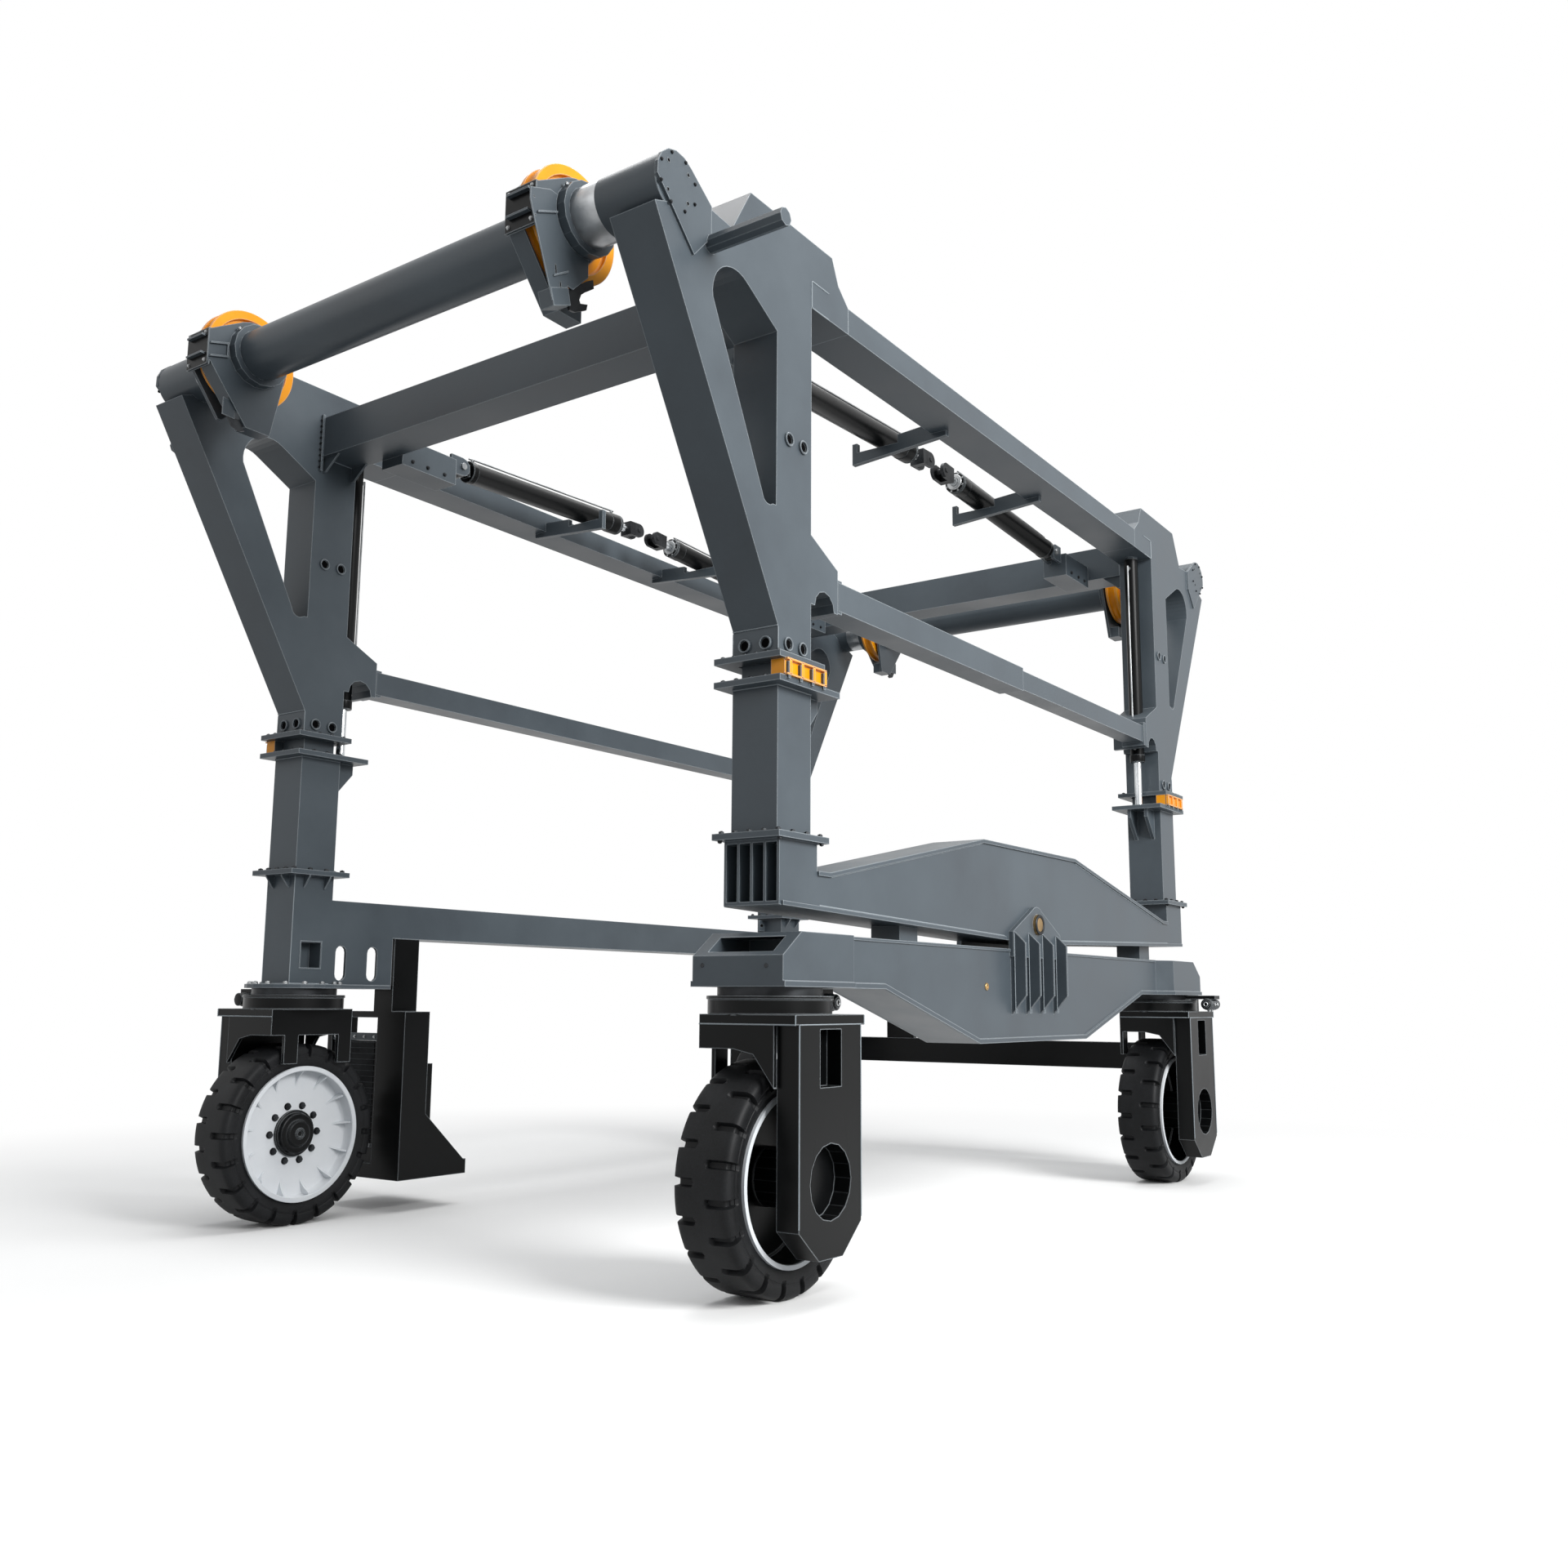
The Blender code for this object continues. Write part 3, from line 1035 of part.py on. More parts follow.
def build_mid_beam(name, across, upper):
    """Long middle beam with a collar at each end: the right one telescopes at its middle."""
    reach = BASE_HALF - BRACKET_REACH - FACE_GAP
    high = across * TRACK_HALF + COLUMN_HALF_X
    low = high - MID_BEAM_WIDTH
    step = MID_BEAM_STEP
    slim = block((low + step, high - step), (-reach + WELD, reach - WELD),
                 (MID_BEAM_BOTTOM + step, MID_BEAM_TOP - step))
    wide_end = 0.0 if across > 0 else reach - WELD
    wide = block((low, high), (-reach + WELD, wide_end), (MID_BEAM_BOTTOM, MID_BEAM_TOP))
    collars = []
    for along in (-1, 1):
        span = sorted((along * reach, along * (reach - MID_COLLAR_LENGTH)))
        collars.append(block((low - MID_COLLAR_STAND, high - WELD), span,
                             (MID_BEAM_BOTTOM - MID_COLLAR_STAND, MID_BEAM_TOP + MID_COLLAR_STAND)))
    solids = [slim, joined(collars)] if across > 0 else [joined(collars)]
    piece(f"mid_beam_{name}", "steel_paint", [wide] + solids, parent=upper)


# Tubes, sheaves and carriages


def build_tube(name, along, upper):
    reach = TRACK_HALF + COLUMN_HALF_X - WELD - FACE_GAP
    y = along * (BASE_HALF + TUBE_OUT)
    tube = rod("X", (y, TUBE_Z), TUBE_RADIUS, -reach, reach)
    piece(f"tube_{name}", "steel_paint", [tube], origin=(0.0, y, TUBE_Z), parent=upper)


def build_sheave(name, across, along, upper):
    """Grooved rope sheave turning on the tube."""
    half = SHEAVE_WIDTH / 2
    bore = round_bore(TUBE_RADIUS)
    groove = SHEAVE_RADIUS - SHEAVE_GROOVE
    x = across * SHEAVE_X
    profile = (
        (bore, x - half), (SHEAVE_HUB_RADIUS, x - half), (SHEAVE_HUB_RADIUS, x - SHEAVE_WEB_HALF),
        (SHEAVE_RIM_INNER, x - SHEAVE_WEB_HALF), (SHEAVE_RIM_INNER, x - half), (SHEAVE_RADIUS, x - half),
        (groove, x - half / 2), (groove, x + half / 2), (SHEAVE_RADIUS, x + half),
        (SHEAVE_RIM_INNER, x + half), (SHEAVE_RIM_INNER, x + SHEAVE_WEB_HALF),
        (SHEAVE_HUB_RADIUS, x + SHEAVE_WEB_HALF), (SHEAVE_HUB_RADIUS, x + half), (bore, x + half),
    )
    centre = (x, along * (BASE_HALF + TUBE_OUT), TUBE_Z)
    sheave = revolve(profile, "X", (centre[1], centre[2]), ROUND_STEPS, 0.5)
    piece(f"sheave_{name}", "yellow_paint", [sheave], origin=centre, parent=upper)


def at_tube(points):
    """Move (out, up) points measured from the tube's axis into corner axes."""
    return [(TUBE_OUT + out, TUBE_Z + up) for out, up in points]


def build_carriage(name, across, along, upper):
    """Carriage on the tube: a leg and a blade beside the sheave, a ribbed cover, foot and collars."""
    inner = SHEAVE_WIDTH / 2 + CHEEK_GAP
    outer = inner + CHEEK_THICKNESS
    centre = SHEAVE_X - TRACK_HALF
    back = COVER_FACE - COVER_THICKNESS
    foot_back = COVER_FOOT_OUT - CARRIAGE_LEG_DEPTH
    # On every carriage the plate on the machine's left side reaches up round the sheave as a guard.
    leg_radius = GUARD_RADIUS if across > 0 else CHEEK_RADIUS
    blade_radius = CHEEK_RADIUS if across > 0 else GUARD_RADIUS
    leg_outline = at_tube([
        (back + WELD, COVER_TOP), (back + WELD, COVER_KNEE), (COVER_FOOT_OUT, COVER_FOOT),
        (foot_back, COVER_FOOT), (-leg_radius, 0.0),
    ] + arc((0.0, 0.0), leg_radius, CHEEK_END_DEGREES, CHEEK_START_DEGREES))
    leg = prism(leg_outline, "X", centre - outer, centre - inner)
    blade_outline = at_tube([
        (back + WELD, COVER_TOP), (back + WELD, COVER_KNEE), (BLADE_TIP_OUT, -BLADE_TIP_DROP),
        (BLADE_TIP_OUT - CHEEK_THICKNESS, -BLADE_TIP_DROP), (-blade_radius, 0.0),
    ] + arc((0.0, 0.0), blade_radius, CHEEK_END_DEGREES, CHEEK_START_DEGREES))
    blade = prism(blade_outline, "X", centre + inner, centre + outer)
    cover = prism(at_tube((
        (back, COVER_TOP), (COVER_FACE, COVER_TOP), (COVER_FACE, COVER_KNEE),
        (COVER_FACE - COVER_THICKNESS / 2, COVER_WIDE_BOTTOM), (back, COVER_WIDE_BOTTOM),
    )), "X", centre - outer, centre + outer)
    leg_edge = centre - outer + CARRIAGE_LEG_SHARE * 2 * outer
    shin = prism(at_tube((
        (back + WELD, COVER_KNEE), (COVER_FACE, COVER_KNEE),
        (COVER_FOOT_OUT + COVER_THICKNESS, COVER_FOOT), (COVER_FOOT_OUT - WELD, COVER_FOOT),
    )), "X", centre - outer, leg_edge)
    foot = prism(at_tube((
        (foot_back, COVER_FOOT), (COVER_FOOT_OUT, COVER_FOOT),
        (COVER_FOOT_OUT, COVER_FOOT + CARRIAGE_FOOT_HEIGHT), (foot_back, COVER_FOOT + CARRIAGE_FOOT_HEIGHT),
    )), "X", centre - outer, leg_edge)
    ribs = []
    rib_end = COVER_FACE + COVER_RIB_REACH
    for z in (COVER_RIB_TOP, COVER_RIB_BOTTOM):
        rib_top = z + COVER_RIB_THICKNESS
        ribs.append(prism(at_tube((
            (COVER_FACE - WELD, z), (rib_end, z), (rib_end, rib_top), (COVER_FACE - WELD, rib_top),
        )), "X", centre - outer + COVER_RIB_REACH, centre + outer - COVER_RIB_REACH))
    collars = []
    for side in (-1, 1):
        faces = sorted((centre + side * (outer - WELD), centre + side * (outer + COLLAR_LENGTH)))
        collars.append(rod("X", (TUBE_OUT, TUBE_Z), COLLAR_RADIUS, faces[0], faces[1]))
    bore = rod("X", (TUBE_OUT, TUBE_Z), TUBE_RADIUS + SHAFT_GAP, centre - outer - COLLAR_LENGTH - OVERRUN,
               centre + outer + COLLAR_LENGTH + OVERRUN)
    solids = [joined((leg, blade)), cover, shin, foot, joined(ribs), joined(collars)]
    piece(f"carriage_{name}", "steel_paint", [to_corner(s, across, along) for s in solids],
          [to_corner(bore, across, along)], parent=upper)


# Hoist cylinders


def tilted(bm, eye_y):
    """Turn a hoist cylinder's solid about its eye, so that it rises towards its clevis."""
    angle = math.radians(HOIST_TILT_DEGREES)
    for vert in bm.verts:
        y = vert.co.y - eye_y
        z = vert.co.z - HOIST_Z
        vert.co.y = eye_y + y * math.cos(angle) + z * math.sin(angle)
        vert.co.z = HOIST_Z + z * math.cos(angle) - y * math.sin(angle)
    return bm


def build_hoist(name, across, along, upper):
    """Hoist cylinder lying inside the upper frame: eye, barrel, rod and the rope's clevis."""
    x = across * HOIST_X
    eye_y = BASE_HALF - HOIST_EYE_OUT
    half = HOIST_EYE_WIDTH / 2
    eye = rod("X", (eye_y, HOIST_Z), HOIST_EYE_RADIUS, x - half, x + half, SMALL_STEPS)
    barrel_start = eye_y - HOIST_EYE_RADIUS - HOIST_EAR_THICKNESS
    barrel_end = barrel_start - HOIST_BARREL_LENGTH
    rod_end = barrel_end - HOIST_ROD_LENGTH
    clevis_end = rod_end - HOIST_CLEVIS_LENGTH
    neck = block((x - half + WELD, x + half - WELD), (barrel_start - WELD, eye_y - HOIST_EYE_RADIUS / 2),
                 (HOIST_Z - half + WELD, HOIST_Z + half - WELD))
    barrel = revolve((
        (0.0, rod_end - WELD), (HOIST_ROD_RADIUS, rod_end - WELD), (HOIST_ROD_RADIUS, barrel_end),
        (HOIST_RADIUS, barrel_end), (HOIST_RADIUS, barrel_start), (0.0, barrel_start),
    ), "Y", (x, HOIST_Z))
    clevis = block((x - HOIST_CLEVIS_HALF, x + HOIST_CLEVIS_HALF), (clevis_end, rod_end),
                   (HOIST_Z - HOIST_CLEVIS_HALF, HOIST_Z + HOIST_CLEVIS_HALF))
    pin_bore = rod("X", (eye_y, HOIST_Z), HOIST_PIN_RADIUS + FACE_GAP, x - half - OVERRUN, x + half + OVERRUN,
                   SMALL_STEPS)
    slot = block((x - HOIST_CLEVIS_SLOT, x + HOIST_CLEVIS_SLOT),
                 (clevis_end - OVERRUN, rod_end - HOIST_CLEVIS_LENGTH / 3),
                 (HOIST_Z - HOIST_CLEVIS_HALF - OVERRUN, HOIST_Z + HOIST_CLEVIS_HALF + OVERRUN))
    solids = [mirrored(tilted(s, eye_y), 1, along) for s in (barrel, neck, eye, clevis)]
    cut = mirrored(tilted(joined((pin_bore, slot)), eye_y), 1, along)
    piece(f"hoist_cylinder_{name}", "black_paint", solids, [cut], parent=upper)


# Low beam and power pack


def build_rear_beam():
    """Low beam behind the rear wheels, on a hanger from each side."""
    body = block((-LOW_BEAM_REACH, LOW_BEAM_REACH), (LOW_BEAM_Y - LOW_BEAM_HALF, LOW_BEAM_Y + LOW_BEAM_HALF),
                 (LOW_BEAM_BOTTOM, LOW_BEAM_TOP))
    post_front = LOW_BEAM_Y - HANGER_THICKNESS / 2
    post_rear = LOW_BEAM_Y + HANGER_THICKNESS / 2
    starts = ((1, ROCKER_END + FACE_GAP), (-1, BASE_HALF + COLUMN_HALF_Y + FACE_GAP))
    hangers = []
    for across, start in starts:
        x = across * TRACK_HALF
        hangers.append(prism((
            (start, HANGER_ARM_BOTTOM), (post_front, HANGER_ARM_BOTTOM), (post_front, LOW_BEAM_TOP - WELD),
            (post_rear, LOW_BEAM_TOP - WELD), (post_rear, ROCKER_MOUTH_BOTTOM - ROCKER_FLANGE_HEIGHT),
            (start, ROCKER_MOUTH_BOTTOM - ROCKER_FLANGE_HEIGHT),
        ), "X", x - HANGER_HALF, x + HANGER_HALF))
    bracket = block((-BRACKET_X - BRACKET_HALF, -BRACKET_X + BRACKET_HALF), (post_front, post_rear),
                    (LOW_BEAM_TOP - WELD, LOW_BEAM_TOP + BRACKET_RISE))
    piece("rear_low_beam", "black_paint", [body, joined(hangers), bracket])


def build_power_pack():
    """Frame hung under the left beam, with tray, cooler and the engine as one block."""
    post_inner = -PACK_INNER
    post_outer = post_inner - PACK_POST_WIDTH
    frame_bottom = PACK_FRAME_TOP - PACK_FRAME_HEIGHT
    tray_top = PACK_TRAY_BOTTOM + PACK_TRAY_HEIGHT
    post_front = -PACK_FRONT
    post_rear = post_front + PACK_POST_DEPTH
    top_frame = block((-PACK_OUTER, post_inner), (post_front, post_rear), (frame_bottom, PACK_FRAME_TOP))
    tray = block((-PACK_OUTER, post_inner), (-PACK_FRONT, -PACK_REAR), (PACK_TRAY_BOTTOM, tray_top))
    post = prism((
        (post_front, tray_top - WELD), (-PACK_REAR - RADIATOR_SIDE_GAP, tray_top - WELD),
        (post_rear, PACK_POST_FOOT_Z), (post_rear, frame_bottom + WELD), (post_front, frame_bottom + WELD),
    ), "X", post_outer, post_inner)
    outer_post = block((-PACK_OUTER, -PACK_OUTER + HANGER_THICKNESS), (post_front, post_rear),
                       (tray_top - WELD, frame_bottom + WELD))
    hanger_x = -TRACK_HALF + COLUMN_HALF_X
    hanger = block((hanger_x - PACK_HANGER_WIDTH, hanger_x), (post_front, post_rear),
                   (PACK_FRAME_TOP - WELD, LEFT_BEAM_BOTTOM - FACE_GAP))
    piece("pack_frame", "black_paint", [top_frame, tray, joined((post, outer_post)), hanger])

    low_x = -PACK_OUTER + HANGER_THICKNESS + FACE_GAP
    high_x = post_outer - FACE_GAP
    core_front = post_front + RADIATOR_SIDE_GAP
    core_rear = core_front + RADIATOR_THICKNESS
    core = block((low_x, high_x), (core_front, core_rear), (tray_top + FACE_GAP, RADIATOR_TOP))
    piece("radiator", "black_paint", [core])

    engine = block((low_x + ENGINE_MARGIN, high_x - ENGINE_MARGIN),
                   (core_rear + ENGINE_MARGIN, -PACK_REAR - ENGINE_MARGIN),
                   (tray_top + FACE_GAP, ENGINE_TOP))
    piece("engine_block", "steel_paint", [engine])


def main():
    clear_scene()
    upper = pivot("upper_frame", (0.0, 0.0, 0.0))
    build_rocker()
    build_pivot_beam()
    build_pin()
    build_left_base()
    build_rear_beam()
    build_power_pack()
    for name, across, along, motor_side in CORNERS:
        steering = pivot(f"steer_{name}", (across * TRACK_HALF, along * BASE_HALF, SLEW_DRUM_TOP))
        build_wheel(name, across, along, steering)
        build_fork(name, across, along, steering)
        build_slew_ring(name, across, along, motor_side)
        build_column(name, across, along)
        build_leg_frame(name, across, along, upper)
        build_sheave(name, across, along, upper)
        build_carriage(name, across, along, upper)
        build_hoist(name, across, along, upper)
    for name, along in ENDS:
        build_crossbeam(name, along, upper)
        build_tube(name, along, upper)
    for name, across in SIDES:
        build_side_beam(name, across, upper)
        build_mid_beam(name, across, upper)


main()
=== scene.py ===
"""Straddle carrier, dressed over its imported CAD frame.

Metres, +Z up, the machine's right side at +X and its front at -Y.  Every mesh is made in the
frame's own coordinates, so each piece stands where the CAD says and rides on its body.
"""

import json
import logging
import math
from dataclasses import dataclass
from enum import Enum
from typing import Any, Callable, Iterable, Sequence

import bmesh
import bpy
from mathutils import Matrix, Vector


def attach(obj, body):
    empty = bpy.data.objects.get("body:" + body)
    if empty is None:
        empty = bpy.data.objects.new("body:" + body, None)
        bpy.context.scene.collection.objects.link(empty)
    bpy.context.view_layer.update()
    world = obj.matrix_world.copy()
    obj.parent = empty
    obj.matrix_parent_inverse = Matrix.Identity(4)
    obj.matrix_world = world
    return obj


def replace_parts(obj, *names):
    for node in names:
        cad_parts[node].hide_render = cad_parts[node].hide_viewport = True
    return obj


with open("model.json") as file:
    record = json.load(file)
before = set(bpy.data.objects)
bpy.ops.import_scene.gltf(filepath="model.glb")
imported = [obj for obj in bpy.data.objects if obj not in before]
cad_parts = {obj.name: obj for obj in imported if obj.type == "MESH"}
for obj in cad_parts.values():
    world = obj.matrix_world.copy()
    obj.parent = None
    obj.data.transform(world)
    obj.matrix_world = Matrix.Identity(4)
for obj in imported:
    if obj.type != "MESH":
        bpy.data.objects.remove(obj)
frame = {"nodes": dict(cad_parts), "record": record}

log = logging.getLogger("straddle_carrier")

Point = tuple[float, float, float]
Span = tuple[float, float]
Outline = Sequence[Span]
Solid = bmesh.types.BMesh
Tree = bpy.types.NodeTree
Socket = bpy.types.NodeSocket

POS_X, NEG_X = (1.0, 0.0, 0.0), (-1.0, 0.0, 0.0)
POS_Y, NEG_Y = (0.0, 1.0, 0.0), (0.0, -1.0, 0.0)
UP, DOWN = (0.0, 0.0, 1.0), (0.0, 0.0, -1.0)
MIDDLE = (0.0, 0.0)
SIDES = (-1, 1)
WHITE_LIGHT = (1.0, 1.0, 1.0, 1.0)

WELD_RIPPLE = 0.006
EDGE_HIGHLIGHT_REACH = 0.009
EIGHTHS = tuple(math.radians(22.5 + 45 * i) for i in range(8))


class Axis(Enum):
    """The axis that a prism or a round bar runs along."""

    X = 0
    Y = 1
    Z = 2


class Body(Enum):
    """The CAD bodies that pieces ride on, apart from those of the four corners."""

    BASE = "base"
    UPPER = "upper_frame"


@dataclass(frozen=True)
class Corner:
    """One corner of the machine: its name and its sides across and along."""

    name: str
    across: int
    along: int


TRACK_HALF = 2.02
BASE_HALF = 2.94
TUBE_OUT = 4.030
TUBE_HEIGHT = 5.600
CARRIAGE_AT = 1.420
LIFT_OUT = -0.270
CORNERS = (
    Corner("front_right", 1, -1),
    Corner("front_left", -1, -1),
    Corner("rear_right", 1, 1),
    Corner("rear_left", -1, 1),
)


# Colour and shader nodes


def linear(code: str) -> tuple[float, float, float, float]:
    """Turn an sRGB hex colour into linear RGBA.

    Args:
        code: a colour such as "#5a6468".

    Returns:
        Linear red, green, blue and an alpha of 1.
    """
    values = [int(code[i : i + 2], 16) / 255.0 for i in (1, 3, 5)]
    return (*[v / 12.92 if v <= 0.04045 else ((v + 0.055) / 1.055) ** 2.4 for v in values], 1.0)


def dress(tree: Tree, node: bpy.types.Node, inputs: dict[Any, Any]) -> None:
    """Link a node's inputs to sockets, or set them to plain values.

    Args:
        tree: the node tree.
        node: the node.
        inputs: input name or index to an output socket or a plain value.
    """
    for key, value in inputs.items():
        if isinstance(value, Socket):
            tree.links.new(value, node.inputs[key])
        else:
            node.inputs[key].default_value = value


def add(tree: Tree, kind: str, links: dict[Any, Any] | None = None, stops: Sequence[tuple[float, str]] = (),
        **settings: Any) -> bpy.types.Node:
    """Add a shader node with its settings and links.

    Args:
        tree: the node tree.
        kind: the node's type name after ShaderNode.
        links: input name or index to an output socket or a plain value.
        stops: position and sRGB hex colour, in order, for a node that has them.
        settings: attributes of the node.

    Returns:
        The new node.
    """
    node = tree.nodes.new("ShaderNode" + kind)
    for key, value in settings.items():
        setattr(node, key, value)
    dress(tree, node, links or {})
    for i, (position, code) in enumerate(stops):
        elements = node.color_ramp.elements
        element = elements[i] if i < len(elements) else elements.new(position)
        element.position, element.color = position, linear(code)
    return node


def new_material(name: str) -> tuple[bpy.types.Material, Tree, bpy.types.Node, Socket]:
    """Make a material with a Principled shader.

    Args:
        name: the material's common name.

    Returns:
        The material, its tree, the shader node and the object coordinates.
    """
    material = bpy.data.materials.new(name)
    material.use_nodes = True
    tree = material.node_tree
    shader = tree.nodes["Principled BSDF"]
    return material, tree, shader, add(tree, "TexCoord").outputs["Object"]


@dataclass(frozen=True)
class Enamel:
    """Sprayed enamel over welded plate: a soft sheen, faint orange peel, dust, and a painted highlight along
    plate edges.
    """

    name: str
    colour: str
    pale: str
    deep: str
    roughness: float
    mottle_mm: float = 900.0
    speck_mm: float = 18.18
    # Real orange peel is 1 to 2 mm across; it is drawn coarser so that it shows.
    peel_mm: float = 6.0
    dust: str = "#8b8a84"
    dust_share: float = 0.10
    # The colour of the painted highlight along plate edges.
    edge: str = "#b9c0c4"
    edge_highlight_share: float = 0.55
    specular: float = 0.28

    def build(self) -> bpy.types.Material:
        """Make the material: clouds of tone, dust on upward faces, a painted highlight along edges and orange
        peel.

        Returns:
            The material.
        """
        material, tree, shader, where = new_material(self.name)
        clouds = add(tree, "TexNoise", {"Vector": where, "Scale": 1000.0 / self.mottle_mm, "Detail": 6.0,
                                        "Roughness": 0.62}).outputs["Fac"]
        tone = add(tree, "ValToRGB", {"Fac": clouds},
                   ((0.30, self.deep), (0.52, self.colour), (0.74, self.pale))).outputs["Color"]
        # Dust settles on faces that look up and thins out with the specks.
        normal = add(tree, "NewGeometry").outputs["Normal"]
        height = add(tree, "SeparateXYZ", {"Vector": normal}).outputs["Z"]
        specks = add(tree, "TexNoise", {"Vector": where, "Scale": 1000.0 / self.speck_mm, "Detail": 8.0,
                                        "Roughness": 0.7}).outputs["Fac"]
        patch = add(tree, "MapRange", {"Value": specks, "From Min": 0.42, "From Max": 0.72,
                                       "To Min": 0.25, "To Max": 1.0}).outputs["Result"]
        upward = add(tree, "MapRange", {"Value": height, "From Min": 0.3, "From Max": 1.0,
                                        "To Min": 0.12, "To Max": 1.0}).outputs["Result"]
        cover = add(tree, "Math", {0: upward, 1: patch}, operation="MULTIPLY").outputs[0]
        amount = add(tree, "Math", {0: cover, 1: self.dust_share}, operation="MULTIPLY").outputs[0]
        dusty = add(tree, "Mix", {"Factor": amount, "A": tone, "B": linear(self.dust)},
                    data_type="RGBA").outputs["Result"]
        # Painted highlight: a pale line is mixed into the colour along the edges of plates, where the bevel
        # normal turns away from the face's normal.
        rounded = add(tree, "Bevel", {"Radius": EDGE_HIGHLIGHT_REACH}, samples=4).outputs["Normal"]
        agreement = add(tree, "VectorMath", {0: rounded, 1: normal}, operation="DOT_PRODUCT").outputs["Value"]
        # edge is the painted highlight's mask; worn is the colour with that painted highlight mixed in.
        edge = add(tree, "MapRange", {"Value": agreement, "From Min": 0.995, "From Max": 0.86,
                                      "To Min": 0.0, "To Max": self.edge_highlight_share}).outputs["Result"]
        worn = add(tree, "Mix", {"Factor": edge, "A": dusty, "B": linear(self.edge)},
                   data_type="RGBA").outputs["Result"]
        gloss = add(tree, "MapRange", {"Value": clouds, "From Min": 0.3, "From Max": 0.7,
                                       "To Min": self.roughness - 0.05,
                                       "To Max": self.roughness + 0.08}).outputs["Result"]
        peel = add(tree, "TexNoise", {"Vector": where, "Scale": 1000.0 / self.peel_mm,
                                      "Detail": 2.0}).outputs["Fac"]
        bump = add(tree, "Bump", {"Height": peel, "Strength": 0.05, "Distance": 0.002}).outputs["Normal"]
        dress(tree, shader, {"Base Color": worn, "Roughness": gloss, "Normal": bump, "IOR": 1.5,
                             "Specular IOR Level": self.specular})
        return material


@dataclass(frozen=True)
class Rubber:
    """Moulded solid tyre rubber: near black, chalky where it is scuffed, never glossy."""

    name: str
    colour: str
    scuffed: str
    roughness: float = 0.78
    specular: float = 0.16
    scuff_mm: float = 222.22
    # The mould's grain is under 1 mm; it is drawn coarser so that it shows.
    grain_mm: float = 8.3333

    def build(self) -> bpy.types.Material:
        """Make the material: scuffs in clouds, fine grain and a moulded skin.

        Returns:
            The material.
        """
        material, tree, shader, where = new_material(self.name)
        clouds = add(tree, "TexNoise", {"Vector": where, "Scale": 1000.0 / self.scuff_mm, "Detail": 9.0,
                                        "Roughness": 0.66}).outputs["Fac"]
        grain = add(tree, "TexNoise", {"Vector": where, "Scale": 1000.0 / self.grain_mm, "Detail": 4.0,
                                       "Roughness": 0.6}).outputs["Fac"]
        blend = add(tree, "Mix", {"Factor": 0.35, "A": clouds, "B": grain},
                    data_type="FLOAT").outputs["Result"]
        tone = add(tree, "ValToRGB", {"Fac": blend},
                   ((0.36, self.colour), (0.66, self.scuffed))).outputs["Color"]
        bump = add(tree, "Bump", {"Height": grain, "Strength": 0.25, "Distance": 0.002}).outputs["Normal"]
        dress(tree, shader, {"Base Color": tone, "Roughness": self.roughness, "Normal": bump, "IOR": 1.52,
                             "Specular IOR Level": self.specular})
        return material


@dataclass(frozen=True)
class Metal:
    """Bare metal: chromed rod, turned bronze, brushed or galvanised steel."""

    name: str
    colour: str
    worn: str
    roughness: float
    wear_mm: float = 166.67
    # Grinding and polishing lines are far finer; they are drawn coarser so that they show.
    grain_mm: float = 3.0
    stretch: Point = (1.0, 1.0, 1.0)

    def build(self) -> bpy.types.Material:
        """Make the material: grain along the tool's path and cloudy wear in tone and gloss.

        Returns:
            The material.
        """
        material, tree, shader, where = new_material(self.name)
        mapped = add(tree, "Mapping", {"Vector": where, "Scale": self.stretch}).outputs["Vector"]
        grain = add(tree, "TexNoise", {"Vector": mapped, "Scale": 1000.0 / self.grain_mm,
                                       "Detail": 3.0}).outputs["Fac"]
        clouds = add(tree, "TexNoise", {"Vector": where, "Scale": 1000.0 / self.wear_mm,
                                        "Detail": 6.0}).outputs["Fac"]
        tone = add(tree, "ValToRGB", {"Fac": clouds},
                   ((0.35, self.worn), (0.6, self.colour))).outputs["Color"]
        gloss = add(tree, "MapRange", {"Value": grain, "From Min": 0.3, "From Max": 0.7,
                                       "To Min": self.roughness - 0.06,
                                       "To Max": self.roughness + 0.10}).outputs["Result"]
        bump = add(tree, "Bump", {"Height": grain, "Strength": 0.06, "Distance": 0.001}).outputs["Normal"]
        dress(tree, shader, {"Base Color": tone, "Roughness": gloss, "Metallic": 1.0, "Normal": bump})
        return material


